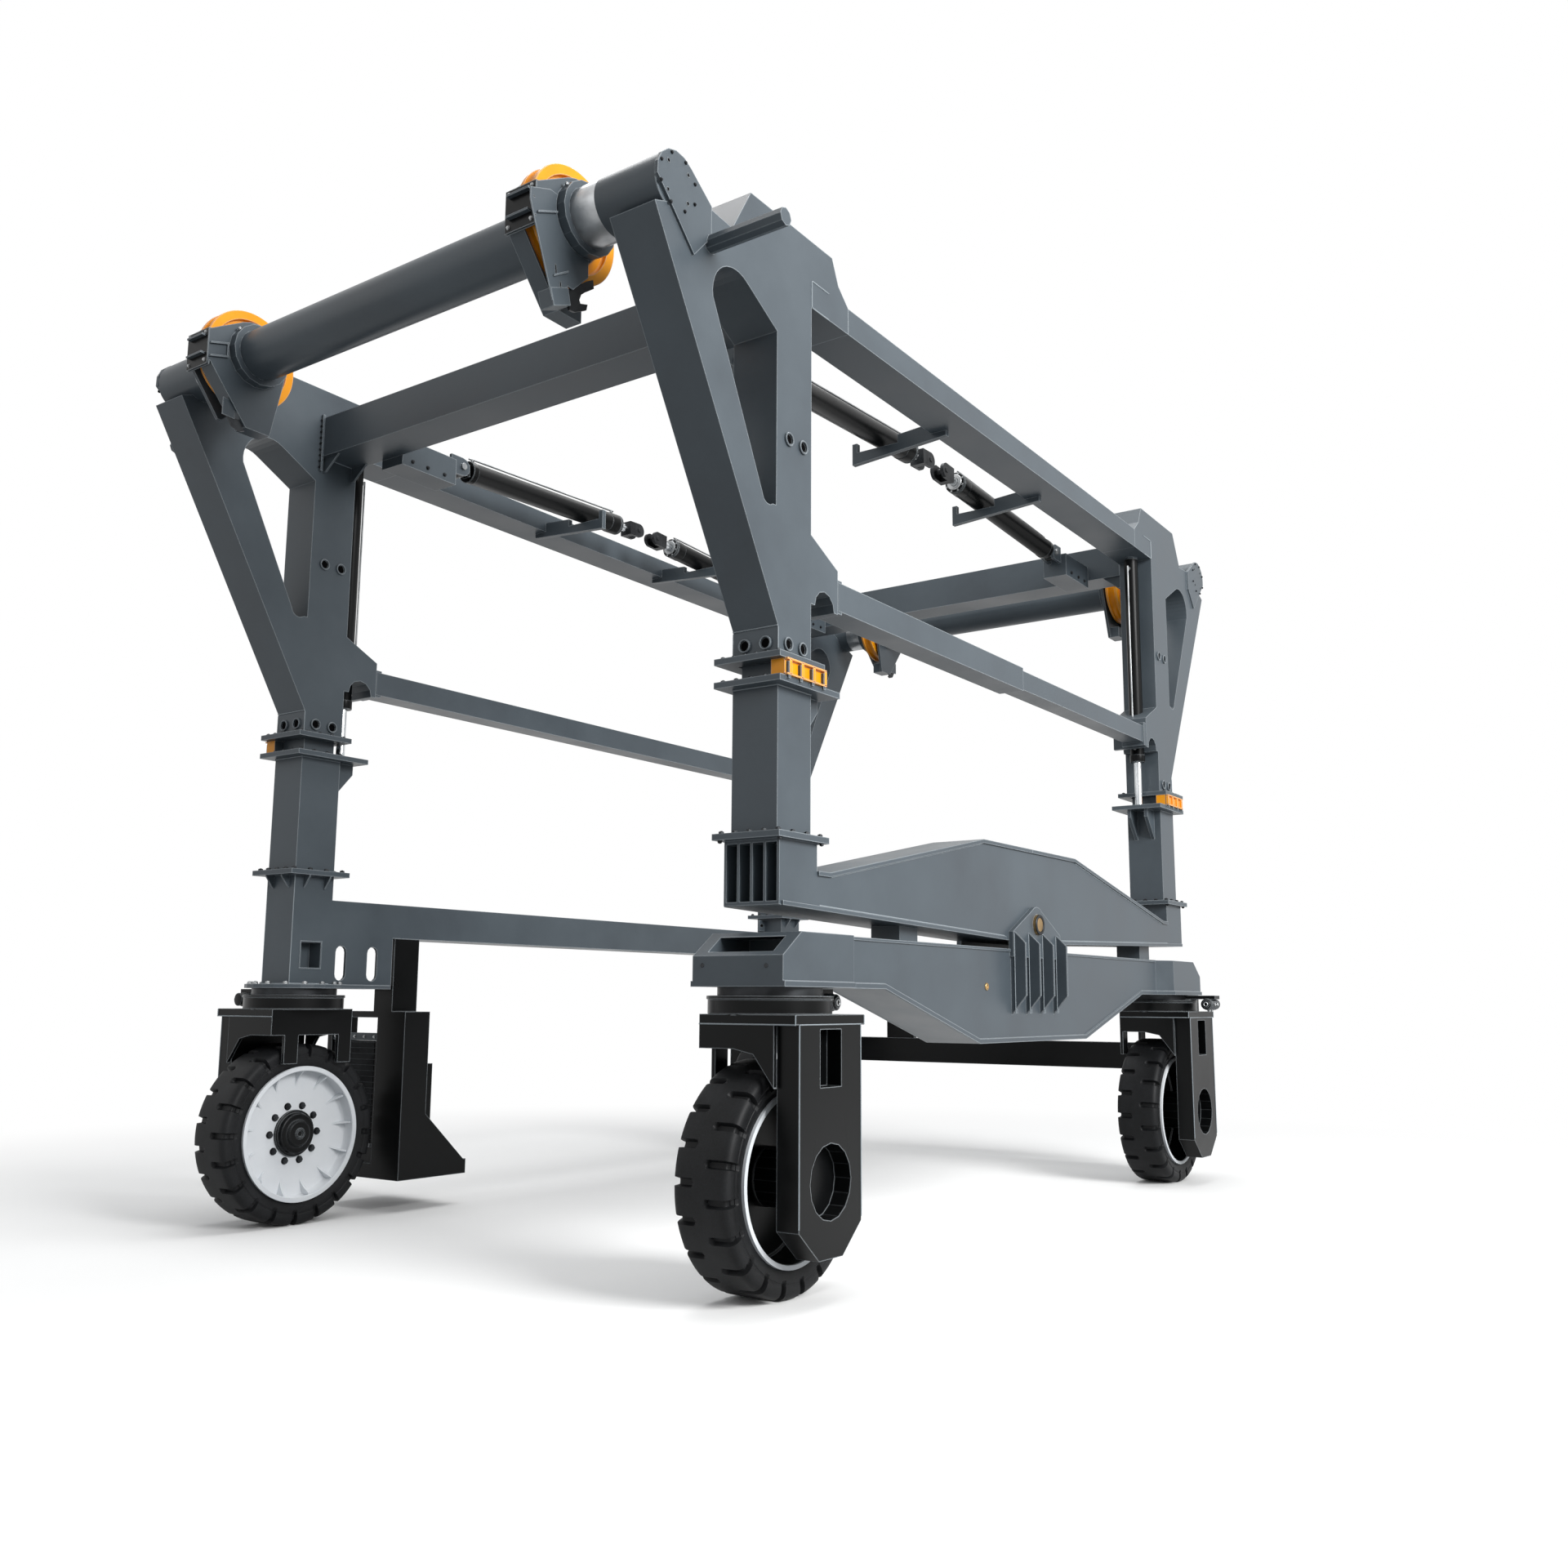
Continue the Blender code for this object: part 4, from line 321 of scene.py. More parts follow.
class Finish(Enum):
    """The machine's finishes, by what each one is, with a painted highlight on the weld beads and a painted
    shade for holes.
    """

    # Semi-gloss blue-grey enamel: the eye sees a cool grey that pales where light rakes it.
    FRAME = Enamel("frame_enamel_blue_grey", "#464e54", "#4d555b", "#3f464c", 0.36)
    # Satin black enamel on the forks and pack: near black with a faint dusty bloom.
    BLACK = Enamel("chassis_enamel_black", "#060708", "#0a0b0c", "#040505", 0.30, dust_share=0.014,
                   specular=0.14)
    # Amber gloss enamel on sheaves and stop blocks: the eye sees a deep warm yellow.
    AMBER = Enamel("safety_enamel_amber", "#e89606", "#f2a40c", "#d18404", 0.34, dust_share=0.02)
    # White enamel on the rims, with brake dust in its hollows.
    WHITE = Enamel("rim_enamel_white", "#dadde0", "#e3e5e7", "#cdd1d5", 0.38, dust_share=0.04)
    # Solid tyre rubber with chalky scuffs.
    TYRE = Rubber("solid_tyre_rubber", "#0a0b0c", "#1d1e20", 0.52)
    # Turned bronze bush face: warm, dull, with fine rings.
    BRONZE = Metal("turned_bronze", "#b39465", "#8f7650", 0.34)
    # Hard chrome on the cylinder rods: bright, with faint polishing lines.
    CHROME = Metal("hard_chrome_rod", "#d9dcde", "#c4c8cb", 0.14)
    # Ground steel sleeve on the cross tube: pale bands of fine grinding lines.
    STEEL = Metal("ground_steel", "#b9bbbd", "#8f9193", 0.30, stretch=(40.0, 1.0, 1.0))
    # Weld bead under enamel, with ripples; its grey, paler than the plate around it, is a painted highlight
    # along the bead.
    WELD_PAINTED_HIGHLIGHT = Enamel("weld_bead_painted_highlight", "#6c757b", "#7b8489", "#5b646a", 0.34, dust_share=0.05)
    # Blackened steel of bolts and fittings: dark, with a dull glint on its edges.
    BLACKENED = Metal("blackened_steel", "#3a3c3e", "#2a2b2d", 0.42)
    # Zinc plate on fasteners and pipes: pale, slightly cloudy.
    ZINC = Metal("zinc_plated_steel", "#a9abac", "#86898b", 0.36)
    # Painted shade: a near-black matt finish on discs and plates that stand for the shaded inside of holes,
    # slots and an eye, and for the lines across the cooler.
    HOLE_PAINTED_SHADE = Enamel("drilled_hole_shadow", "#050506", "#080809", "#030303", 0.92, dust_share=0.0,
                  specular=0.05)


MATERIALS: dict[Finish, bpy.types.Material] = {}


def material_of(finish: Finish) -> bpy.types.Material:
    """Give the finish's material, made once.

    Args:
        finish: the finish.

    Returns:
        Its material.
    """
    if finish not in MATERIALS:
        MATERIALS[finish] = finish.value.build()
    return MATERIALS[finish]


# Solids


def prism(outline: Outline, axis: Axis, low: float, high: float) -> Solid:
    """Make a straight bar of one cross-section.

    Args:
        outline: the section's points, in the two other axes in their order.
        axis: the axis that the bar runs along.
        low: where it starts.
        high: where it ends.

    Returns:
        The closed solid.
    """
    bm = bmesh.new()
    first, second = [i for i in range(3) if i != axis.value]
    ends = []
    for level in (low, high):
        ring = []
        for a, b in outline:
            place = [0.0, 0.0, 0.0]
            place[axis.value], place[first], place[second] = level, a, b
            ring.append(bm.verts.new(place))
        ends.append(ring)
        bm.faces.new(ring)
    for i in range(len(outline)):
        j = (i + 1) % len(outline)
        bm.faces.new((ends[0][i], ends[0][j], ends[1][j], ends[1][i]))
    bmesh.ops.recalc_face_normals(bm, faces=bm.faces)
    return bm


def plate(x: Span, y: Span, z: Span) -> Solid:
    """Make a flat plate or bar between two corners, whose edges its piece's bevel rounds."""
    return prism(((x[0], y[0]), (x[1], y[0]), (x[1], y[1]), (x[0], y[1])), Axis.Z, z[0], z[1])


def arc(centre: Span, radius: float, start: float, end: float, steps: int) -> list[Span]:
    """Give points on an arc from start to end, in degrees."""
    turns = [math.radians(start + (end - start) * i / steps) for i in range(steps + 1)]
    return [(centre[0] + radius * math.cos(t), centre[1] + radius * math.sin(t)) for t in turns]


def turned(profile: Outline, axis: Axis, centre: Span, steps: int = 48) -> Solid:
    """Turn a profile about an axis.

    Args:
        profile: (radius, place along the axis) pairs; a closed loop, or a line from axis to axis.
        axis: the axis of turning.
        centre: where the axis lies in the two other directions.
        steps: how many facets go round.

    Returns:
        The closed solid.
    """
    bm = bmesh.new()
    first, second = [i for i in range(3) if i != axis.value]

    def vertex(radius: float, along: float, turn: float) -> bmesh.types.BMVert:
        """Add one point of a ring.

        Args:
            radius: its distance from the axis.
            along: its place along the axis.
            turn: its angle in radians.

        Returns:
            The vertex.
        """
        place = [0.0, 0.0, 0.0]
        place[axis.value] = along
        place[first] = centre[0] + radius * math.cos(turn)
        place[second] = centre[1] + radius * math.sin(turn)
        return bm.verts.new(place)

    rings = []
    for radius, along in profile:
        count = 1 if radius == 0.0 else steps
        rings.append([vertex(radius, along, math.tau * i / steps) for i in range(count)])
    pairs = list(zip(rings, rings[1:]))
    if profile[0][0] != 0.0:
        pairs.append((rings[-1], rings[0]))
    for a, b in pairs:
        for i in range(steps):
            j = (i + 1) % steps
            corners = [a[i % len(a)], a[j % len(a)], b[j % len(b)], b[i % len(b)]]
            face = list(dict.fromkeys(corners))
            if len(face) > 2:
                bm.faces.new(face)
    bmesh.ops.recalc_face_normals(bm, faces=bm.faces)
    return bm


def sleeve(inner: float, outer: float, ends: Span, axis: Axis, centre: Span = MIDDLE) -> Solid:
    """Make a plain ring between two radii and two ends."""
    low, high = ends
    return turned(((inner, low), (outer, low), (outer, high), (inner, high)), axis, centre, 96)


def bar(axis: Axis, centre: Span, radius: float, low: float, high: float, steps: int = 32,
        chamfer: float = 0.0) -> Solid:
    """Make a round bar, with its ends chamfered if asked.

    Args:
        axis: the axis that the bar runs along.
        centre: where the axis lies in the two other directions.
        radius: its radius.
        low: where it starts.
        high: where it ends.
        steps: how many facets go round.
        chamfer: the width of the chamfer on both ends.

    Returns:
        The closed solid.
    """
    profile = [(0.0, low), (radius, low), (radius, high), (0.0, high)]
    if chamfer > 0.0:
        profile[1:3] = [(radius - chamfer, low), (radius, low + chamfer), (radius, high - chamfer),
                        (radius - chamfer, high)]
    return turned(profile, axis, centre, steps)


def tube_along(points: Sequence[Point], radius: float, sides: int = 12, ripple: float = 0.0) -> Solid:
    """Sweep a round section along a path, with closed ends.

    Args:
        points: the path.
        radius: the section's radius.
        sides: facets round the section.
        ripple: by how much every second ring is slimmer, as on a weld.

    Returns:
        The closed solid.
    """
    bm = bmesh.new()
    path = [Vector(p) for p in points]
    turns = [math.tau * k / sides for k in range(sides)]
    rings = []
    side = None
    for i, point in enumerate(path):
        ahead = (path[min(i + 1, len(path) - 1)] - path[max(i - 1, 0)]).normalized()
        if side is None:
            side = ahead.orthogonal().normalized()
        side = (side - ahead * side.dot(ahead)).normalized()
        other = ahead.cross(side)
        size = radius - ripple * (i % 2)
        rings.append([bm.verts.new(point + side * (size * math.cos(t)) + other * (size * math.sin(t)))
                      for t in turns])
    for a, b in zip(rings, rings[1:]):
        for i in range(sides):
            j = (i + 1) % sides
            bm.faces.new((a[i], a[j], b[j], b[i]))
    bm.faces.new(rings[0])
    bm.faces.new(rings[-1])
    bmesh.ops.recalc_face_normals(bm, faces=bm.faces)
    return bm


def eased(points: Sequence[Point], per_span: int = 8) -> list[Vector]:
    """Run a smooth curve through the points of a pipe's route.

    Args:
        points: the route.
        per_span: how many points each span gets.

    Returns:
        The curve's points.
    """
    path = [Vector(p) for p in points]
    path = [path[0] * 2 - path[1]] + path + [path[-1] * 2 - path[-2]]
    curve = []
    for i in range(1, len(path) - 2):
        a, b, c, d = path[i - 1 : i + 3]
        for k in range(per_span):
            t = k / per_span
            curve.append(0.5 * (2 * b + (c - a) * t + (2 * a - 5 * b + 4 * c - d) * t**2
                                + (3 * b - a - 3 * c + d) * t**3))
    return curve + [path[-2]]


def weld(start: Point, end: Point, radius: float = 0.005) -> Solid:
    """Make a rippled weld bead between two points.

    Args:
        start: where it starts.
        end: where it ends.
        radius: its radius.

    Returns:
        The closed solid.
    """
    a, b = Vector(start), Vector(end)
    count = max(int((b - a).length / WELD_RIPPLE), 2)
    return tube_along([a.lerp(b, i / count) for i in range(count + 1)], radius, 6, radius * 0.22)


def merged(parts: Iterable[Solid]) -> Solid:
    """Gather several solids into one mesh.

    Args:
        parts: the solids, which are used up.

    Returns:
        The one mesh.
    """
    whole = bmesh.new()
    for part in parts:
        mesh = bpy.data.meshes.new("scratch")
        part.to_mesh(mesh)
        whole.from_mesh(mesh)
        bpy.data.meshes.remove(mesh)
        part.free()
    return whole


def moved(bm: Solid, matrix: Matrix) -> Solid:
    """Move a solid by a matrix, and keep its faces pointing out if the matrix mirrors.

    Args:
        bm: the solid.
        matrix: where it goes.

    Returns:
        The same solid.
    """
    bmesh.ops.transform(bm, matrix=matrix, verts=bm.verts)
    if matrix.to_3x3().determinant() < 0.0:
        bmesh.ops.reverse_faces(bm, faces=bm.faces)
    return bm


def seated(bm: Solid, place: Point, way: Point) -> Solid:
    """Move a solid that stands up from the origin to its seat, standing out along way."""
    turn = Vector(way).to_track_quat("Z", "Y").to_matrix().to_4x4()
    return moved(bm, Matrix.Translation(Vector(place)) @ turn)


def bolt(place: Point, way: Point, flats: float = 0.03) -> Solid:
    """Make a hexagon bolt head on its washer.

    Args:
        place: the washer's seat.
        way: the direction that the head stands out in.
        flats: the size across flats.

    Returns:
        The washer, head and shank end.
    """
    wide = flats / math.sqrt(3.0)
    thick, tall = flats * 0.12, flats * 0.55
    head = turned(((0.0, thick), (wide * 0.99, thick), (wide, thick + 0.001), (wide, tall * 0.82),
                   (wide * 0.86, tall), (0.0, tall)), Axis.Z, MIDDLE, 6)
    washer = bar(Axis.Z, MIDDLE, wide * 1.2, -0.001, thick, 20)
    end = bar(Axis.Z, MIDDLE, flats * 0.27, tall - 0.001, tall + flats * 0.12, 12, flats * 0.04)
    return seated(merged((head, washer, end)), place, way)


def boss(place: Point, way: Point, outer: float, inner: float, tall: float) -> Solid:
    """Make an open ring that stands on a face, such as a pin boss.

    Args:
        place: its seat.
        way: the direction that it stands out in.
        outer: its outer radius.
        inner: its bore's radius.
        tall: how far it stands out.

    Returns:
        The ring.
    """
    ring = turned(((inner, -0.002), (outer, -0.002), (outer, tall - 0.003), (outer - 0.003, tall),
                   (inner + 0.003, tall), (inner, tall - 0.003)), Axis.Z, MIDDLE, 40)
    return seated(ring, place, way)


def disc(place: Point, way: Point, radius: float, tall: float) -> Solid:
    """Make a low round plug on a face."""
    return seated(bar(Axis.Z, MIDDLE, radius, -0.002, tall, 32, min(0.002, tall / 2)), place, way)


def at_corner(bm: Solid, corner: Corner) -> Solid:
    """Move a solid from corner axes (out across, out along, up) into the frame.

    Args:
        bm: the solid.
        corner: the corner that it goes to.

    Returns:
        The same solid.
    """
    across, along = corner.across, corner.along
    matrix = Matrix.Diagonal((across, along, 1.0, 1.0))
    matrix.translation = Vector((across * TRACK_HALF, along * BASE_HALF, 0.0))
    return moved(bm, matrix)


def at_sides(bm: Solid, across: int, along: int) -> Solid:
    """Mirror a solid made at +X and +Y to the sides asked."""
    return moved(bm, Matrix.Diagonal((across, along, 1.0, 1.0)))


# Pieces


Row = tuple[str, list[Solid], "Finish", float]


def round_edges(thing: bpy.types.Object, width: float, degrees: float) -> None:
    """Add a modifier that rounds the edges sharper than an angle.

    Args:
        thing: the object.
        width: the width of the rounded edges.
        degrees: the angle over which an edge is rounded.
    """
    edges = thing.modifiers.new("rounded_edges", "BEVEL")
    edges.width = width
    edges.segments = 2
    edges.limit_method = "ANGLE"
    edges.angle_limit = math.radians(degrees)


def piece(name: str, bm: Solid, finish: Finish, body: str, bevel: float = 0.0,
          sharp: float = 32.0) -> bpy.types.Object:
    """Turn a solid into a piece of the scene and let it ride on its body.

    Args:
        name: the piece's name.
        bm: its solid, in the frame's coordinates.
        finish: what it is made of.
        body: the CAD body that carries it.
        bevel: the width of its rounded edges.
        sharp: the angle, in degrees, over which an edge stays crisp.

    Returns:
        The piece.
    """
    mesh = bpy.data.meshes.new(name)
    bm.to_mesh(mesh)
    bm.free()
    mesh.materials.append(material_of(finish))
    mesh.shade_smooth()
    mesh.set_sharp_from_angle(angle=math.radians(sharp))
    thing = bpy.data.objects.new(name, mesh)
    bpy.context.scene.collection.objects.link(thing)
    if bevel > 0.0:
        round_edges(thing, bevel, sharp)
    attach(thing, body)
    log.info("made %s in %s on %s", name, finish.name.lower(), body)
    return thing


def fit(corner: Corner, body: str, *rows: Row) -> list[bpy.types.Object]:
    """Make one piece a row at a corner.

    Args:
        corner: the corner, whose name ends the pieces' names.
        body: the CAD body that carries them.
        rows: title, solids in corner axes, finish and bevel.

    Returns:
        The pieces, in order.
    """
    return [piece(f"{title}_{corner.name}", at_corner(merged(parts), corner), finish, body, bevel)
            for title, parts, finish, bevel in rows]


def fit_mirrored(name: str, make: Callable[[], list[Row]], sides: Sequence[tuple[int, int]]) -> None:
    """Make one piece a row on the upper frame, whose parts stand at several sides.

    Args:
        name: what ends the pieces' names.
        make: gives the rows (title, solids at +X and +Y, finish and bevel).
        sides: the sides across and along that the parts are mirrored to.
    """
    for same in zip(*[make() for _ in sides]):
        title, _, finish, bevel = same[0]
        whole = merged([at_sides(merged(row[1]), *side) for row, side in zip(same, sides)])
        piece(f"{title}_{name}", whole, finish, Body.UPPER.value, bevel)


# CAD nodes


SLOT_FINISH = {
    "steel_paint": Finish.FRAME,
    "black_paint": Finish.BLACK,
    "yellow_paint": Finish.AMBER,
    "white_paint": Finish.WHITE,
    "tyre_rubber": Finish.TYRE,
    "bronze": Finish.BRONZE,
}
# The cooler and the engine are black in the photo, apart from the bars on the cooler.
DARK_NODES = ("engine_block", "radiator")
ROUND_NODES = ("sheave", "tube", "rocker_pin", "rim")


@dataclass
class CadDress:
    """Materials and rounded edges for the CAD nodes that keep their own shape."""

    edge: float = 0.004
    round_edge: float = 0.0025
    sharp_degrees: float = 25.0
    flat_degrees: float = 1.0

    def build(self) -> None:
        """Dress every node: flat faces are merged and welded edges rounded by modifiers."""
        slots = {part["node"]: part["material_slot"] for part in frame["record"]["subparts"]}
        for name, node in frame["nodes"].items():
            finish = Finish.BLACK if name in DARK_NODES else SLOT_FINISH[slots[name]]
            if not node.material_slots:
                node.data.materials.append(material_of(finish))
            for place in node.material_slots:
                place.material = material_of(finish)
            flat = node.modifiers.new("merge_flat_faces", "DECIMATE")
            flat.decimate_type = "DISSOLVE"
            flat.angle_limit = math.radians(self.flat_degrees)
            width = self.round_edge if name.startswith(ROUND_NODES) else self.edge
            round_edges(node, width, self.sharp_degrees)
            log.info("dressed %s as %s", name, finish.name)


# Wheels and forks


@dataclass
class Tyre:
    """Solid tyre: crowned tread, two staggered rows of scooped grooves, moulded sidewall ribs."""

    radius: float = 0.600
    lugs: int = 20
    groove_share: float = 0.24
    depth: float = 0.028
    row: float = 0.032
    wall: float = 0.009
    fade: float = 0.034

    def profile(self) -> list[Span]:
        """Give the outer half of the section as (out, radius), from the middle to the bead.

        Returns:
            The points, in metres.
        """
        drops = ((0.0, 0.0), (0.018, 0.0), (0.03, 0.0), (0.036, 0.0), (0.042, 0.0), (0.05, 0.0),
                 (0.062, 0.0), (0.085, 0.0003), (0.112, 0.001), (0.13, 0.002), (0.142, 0.005),
                 (0.153, 0.011), (0.162, 0.02), (0.168, 0.032), (0.17, 0.046), (0.17, 0.064),
                 (0.169, 0.072), (0.1665, 0.075), (0.1665, 0.084), (0.169, 0.087), (0.1675, 0.104),
                 (0.164, 0.12), (0.158, 0.136), (0.152, 0.1497))
        return [(out, self.radius - drop) for out, drop in drops]

    def turns(self) -> list[float]:
        """Give the angles of the mesh lines, closest at the groove walls.

        Returns:
            The angles in radians, in order.
        """
        half = self.groove_share / 2
        pitch = math.tau / self.lugs
        shares = []
        for centre in (half, 0.5 + half):
            for step in (0.0, 0.05, 0.078, half, 0.14, 0.19):
                shares += [centre + step, centre - step] if step else [centre]
        return sorted(pitch * (lug + share % 1.0) for lug in range(self.lugs) for share in shares)

    def sink(self, out: float, radius: float, turn: float) -> float:
        """Say how deep a groove is at a point of the skin, with a round inner end and sloping walls.

        Args:
            out: the point's place across the tread.
            radius: its distance from the axle.
            turn: its angle in radians.

        Returns:
            The depth below the skin.
        """
        pitch = math.tau / self.lugs
        start = self.groove_share / 2 + (0.5 if out > 0.0 else 0.0)
        offset = (turn / pitch - start) % 1.0
        across = min(offset, 1.0 - offset) * pitch * self.radius
        half = self.groove_share / 2 * pitch * self.radius
        short = max(self.row + half - abs(out), 0.0)
        level = min(max((half - math.hypot(across, short)) / self.wall, 0.0), 1.0)
        low = min(max((radius - self.radius + 0.100) / self.fade, 0.0), 1.0)
        return self.depth * level * level * (3.0 - 2.0 * level) * low

    def build(self, corner: Corner) -> None:
        """Make the corner's tyre in place of its CAD node.

        Args:
            corner: the corner that it stands at.
        """
        half = self.profile()
        section = [(-out, r) for out, r in reversed(half)] + half[1:]
        bm = bmesh.new()
        rings = []
        for turn in self.turns():
            ring = []
            for i, (out, radius) in enumerate(section):
                before, after = section[max(i - 1, 0)], section[min(i + 1, len(section) - 1)]
                run, rise = after[0] - before[0], after[1] - before[1]
                sink = self.sink(out, radius, turn) / math.hypot(run, rise)
                x, r = out + rise * sink, radius - run * sink
                ring.append(bm.verts.new((x, r * math.cos(turn), self.radius + r * math.sin(turn))))
            rings.append(ring)
        for a, b in zip(rings, rings[1:] + rings[:1]):
            for i in range(len(section)):
                j = (i + 1) % len(section)
                bm.faces.new((a[i], a[j], b[j], b[i]))
        bmesh.ops.recalc_face_normals(bm, faces=bm.faces)
        tyre = piece(f"tyre_skin_{corner.name}", at_corner(bm, corner), Finish.TYRE, f"wheel_{corner.name}",
                     sharp=38.0)
        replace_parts(tyre, f"tyre_{corner.name}")


@dataclass
class Rim:
    """White dished rim with gussets, a black hub in its middle and black wheel nuts."""

    radius: float = 0.450
    inside: float = 0.425
    disc_in: float = -0.075
    disc_out: float = -0.045
    face: float = -0.170
    ribs: int = 13
    rib_half: float = 0.006
    rib_foot: float = 0.315
    hub: float = 0.155
    nuts: int = 10
    nut_ring: float = 0.188
    back: float = 0.166
    centre: Span = (0.0, 0.600)

    def build(self, corner: Corner) -> None:
        """Make the rim, the hub, the nuts and the near-black liner of one wheel, a painted shade inside the
        barrel on the fork's side.

        Args:
            corner: the corner that it stands at.
        """
        r, low, high, face = self.inside, self.disc_in, self.disc_out, self.face
        bore = self.hub - 0.03
        shell = turned((
            (self.radius, face), (self.radius, -face), (r, -face), (r, high + 0.012), (r - 0.012, high),
            (bore, high), (bore, low), (r - 0.022, low), (r - 0.008, low - 0.006), (r, low - 0.020),
            (r, face + 0.026), (r - 0.008, face + 0.016), (r - 0.008, face + 0.004), (r - 0.004, face),
        ), Axis.X, self.centre, 96)
        nuts = []
        for i in range(self.nuts):
            y, z = (self.nut_ring * turn(math.tau * i / self.nuts) for turn in (math.cos, math.sin))
            nuts.append(bolt((low, y, self.centre[1] + z), NEG_X, 0.036))
        # The liner is a near-black skin inside the barrel towards the fork: painted shade.
        wall, foot, edge, bore = r - 0.0008, high + 0.002, self.back - 0.004, self.hub - 0.028
        liner = turned(((bore, foot), (wall - 0.012, foot), (wall, foot + 0.012), (wall, edge),
                        (wall - 0.002, edge), (wall - 0.002, foot + 0.0125), (wall - 0.0125, foot + 0.002),
                        (bore, foot + 0.002)), Axis.X, self.centre, 96)
        made = fit(corner, f"wheel_{corner.name}",
                   ("rim_shell", [shell] + [self.rib(i) for i in range(self.ribs)], Finish.WHITE, 0.002),
                   ("hub", self.hub_parts(), Finish.BLACK, 0.002),
                   ("wheel_nuts", nuts, Finish.BLACKENED, 0.0),
                   ("rim_shade_liner", [liner], Finish.BLACK, 0.0))
        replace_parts(made[0], f"rim_{corner.name}")

    def rib(self, index: int) -> Solid:
        """Make one gusset between the disc and the barrel, with a hollow free edge.

        Args:
            index: which gusset it is.

        Returns:
            The solid.
        """
        foot, outer = self.disc_in + 0.002, self.inside + 0.002
        outline = [(foot, self.rib_foot - 0.008)]
        outline += [(self.disc_in - 0.072 * (i / 6) ** 1.7, self.rib_foot + 0.092 * (i / 6))
                    for i in range(7)]
        outline += [(self.disc_in - 0.074, outer), (foot, outer)]
        rib = prism(outline, Axis.Y, -self.rib_half, self.rib_half)
        turn = Matrix.Rotation(math.tau * index / self.ribs, 4, "X")
        return moved(rib, Matrix.Translation((0.0, *self.centre)) @ turn)

    def hub_parts(self) -> list[Solid]:
        """Make the hub: stepped cup and cap on the open side, bearing housing towards the fork.

        Returns:
            The two solids.
        """
        front = ((0.0, -0.148), (0.020, -0.148), (0.022, -0.1595), (0.034, -0.1595), (0.036, -0.150),
                 (0.078, -0.147), (0.086, -0.141), (0.089, -0.132), (0.094, -0.1285), (0.122, -0.1285),
                 (0.130, -0.124), (0.134, -0.116), (0.138, -0.098), (0.155, -0.092), (0.155, -0.0755),
                 (0.0, -0.0755))
        back = ((0.0765, -0.0445), (self.hub, -0.0445), (self.hub, 0.004), (self.hub - 0.006, 0.0098),
                (0.0765, 0.0098))
        return [turned(profile, Axis.X, self.centre, 72) for profile in (front, back)]


@dataclass
class ForkTrim:
    """What is added to a fork: the turned drum, its lip, and the weld beads."""

    drum: float = 0.330
    low: float = 1.4353
    top: float = 1.5296
    head: float = 1.385
    side: float = 0.290
    end: float = 0.325
    outer: float = 0.385
    inner: float = -0.220

    def build(self, corner: Corner) -> None:
        """Dress one fork.

        Args:
            corner: the corner that it stands at.
        """
        r, top, head, x = self.drum, self.top, self.head, self.outer
        drum = turned(((r - 0.012, self.low), (r + 0.0012, self.low), (r + 0.0012, top - 0.020),
                       (r + 0.008, top - 0.017), (r + 0.008, top - 0.002), (r + 0.006, top),
                       (r - 0.012, top)), Axis.Z, MIDDLE, 96)
        # The beads take the pale weld finish, a painted highlight along the fork's plate edges.
        beads = []
        for side in SIDES:
            u, wide = side * self.side, side * (self.end + 0.001)
            beads += [weld((x, u, 0.40), (x, u, head), 0.0045),
                      weld((self.inner, wide, head), (x, wide, head), 0.0045),
                      weld((x, wide, head), (x, wide, head + 0.048), 0.004)]
        beads.append(weld((x, -self.side, head), (x, self.side, head), 0.004))
        fit(corner, f"steering_{corner.name}", ("slew_drum", [drum], Finish.BLACK, 0.0015),
            ("fork_welds", beads, Finish.WELD_PAINTED_HIGHLIGHT, 0.0))


@dataclass
class SlewTrim:
    """The fixed slewing ring's turned skin and its steering motor: ribs, end caps and ports."""

    radius: float = 0.280
    low: float = 1.5312
    top: float = 1.5746
    offset: float = 0.470
    height: float = 1.4970
    motor: float = 0.047
    half: float = 0.119

    def build(self, corner: Corner) -> None:
        """Dress one slewing ring and its motor, which lies across at the front right corner.

        Args:
            corner: the corner that it stands at.
        """
        r, half = self.motor, self.half
        profile = [(0.0, -half - 0.012), (0.030, -half - 0.012), (0.036, -half - 0.004), (r - 0.002, -half)]
        for i in range(9):
            at = -half + 0.024 + i * 0.0215
            profile += [(r - 0.003, at - 0.004), (r + 0.002, at), (r + 0.002, at + 0.007),
                        (r - 0.003, at + 0.011)]
        profile += [(r - 0.002, half), (0.032, half + 0.004), (0.0, half + 0.004)]
        ports = []
        for along in (-0.045, 0.020):
            ports += [bolt((0.0, along, -r), DOWN, 0.026),
                      boss((r - 0.004, along, 0.0), POS_X, 0.014, 0.008, 0.016)]
        ports.append(boss((0.0, -half - 0.011, 0.0), NEG_Y, 0.020, 0.012, 0.006))
        matrix = Matrix.Translation((self.offset, 0.0, self.height))
        if corner.name == "front_right":
            turn = Matrix.Rotation(math.pi / 2, 4, "Z")
            matrix = Matrix.Translation((0.0, -self.offset, self.height)) @ turn
        fit(corner, Body.BASE.value,
            ("slew_race", [sleeve(self.radius - 0.010, self.radius + 0.001, (self.low, self.top), Axis.Z)],
             Finish.BLACKENED, 0.001),
            ("steering_motor", [moved(turned(profile, Axis.Y, MIDDLE, 32), matrix)], Finish.BLACK, 0.001),
            ("motor_ports", [moved(merged(ports), matrix)], Finish.ZINC, 0.0))


# Upper frame


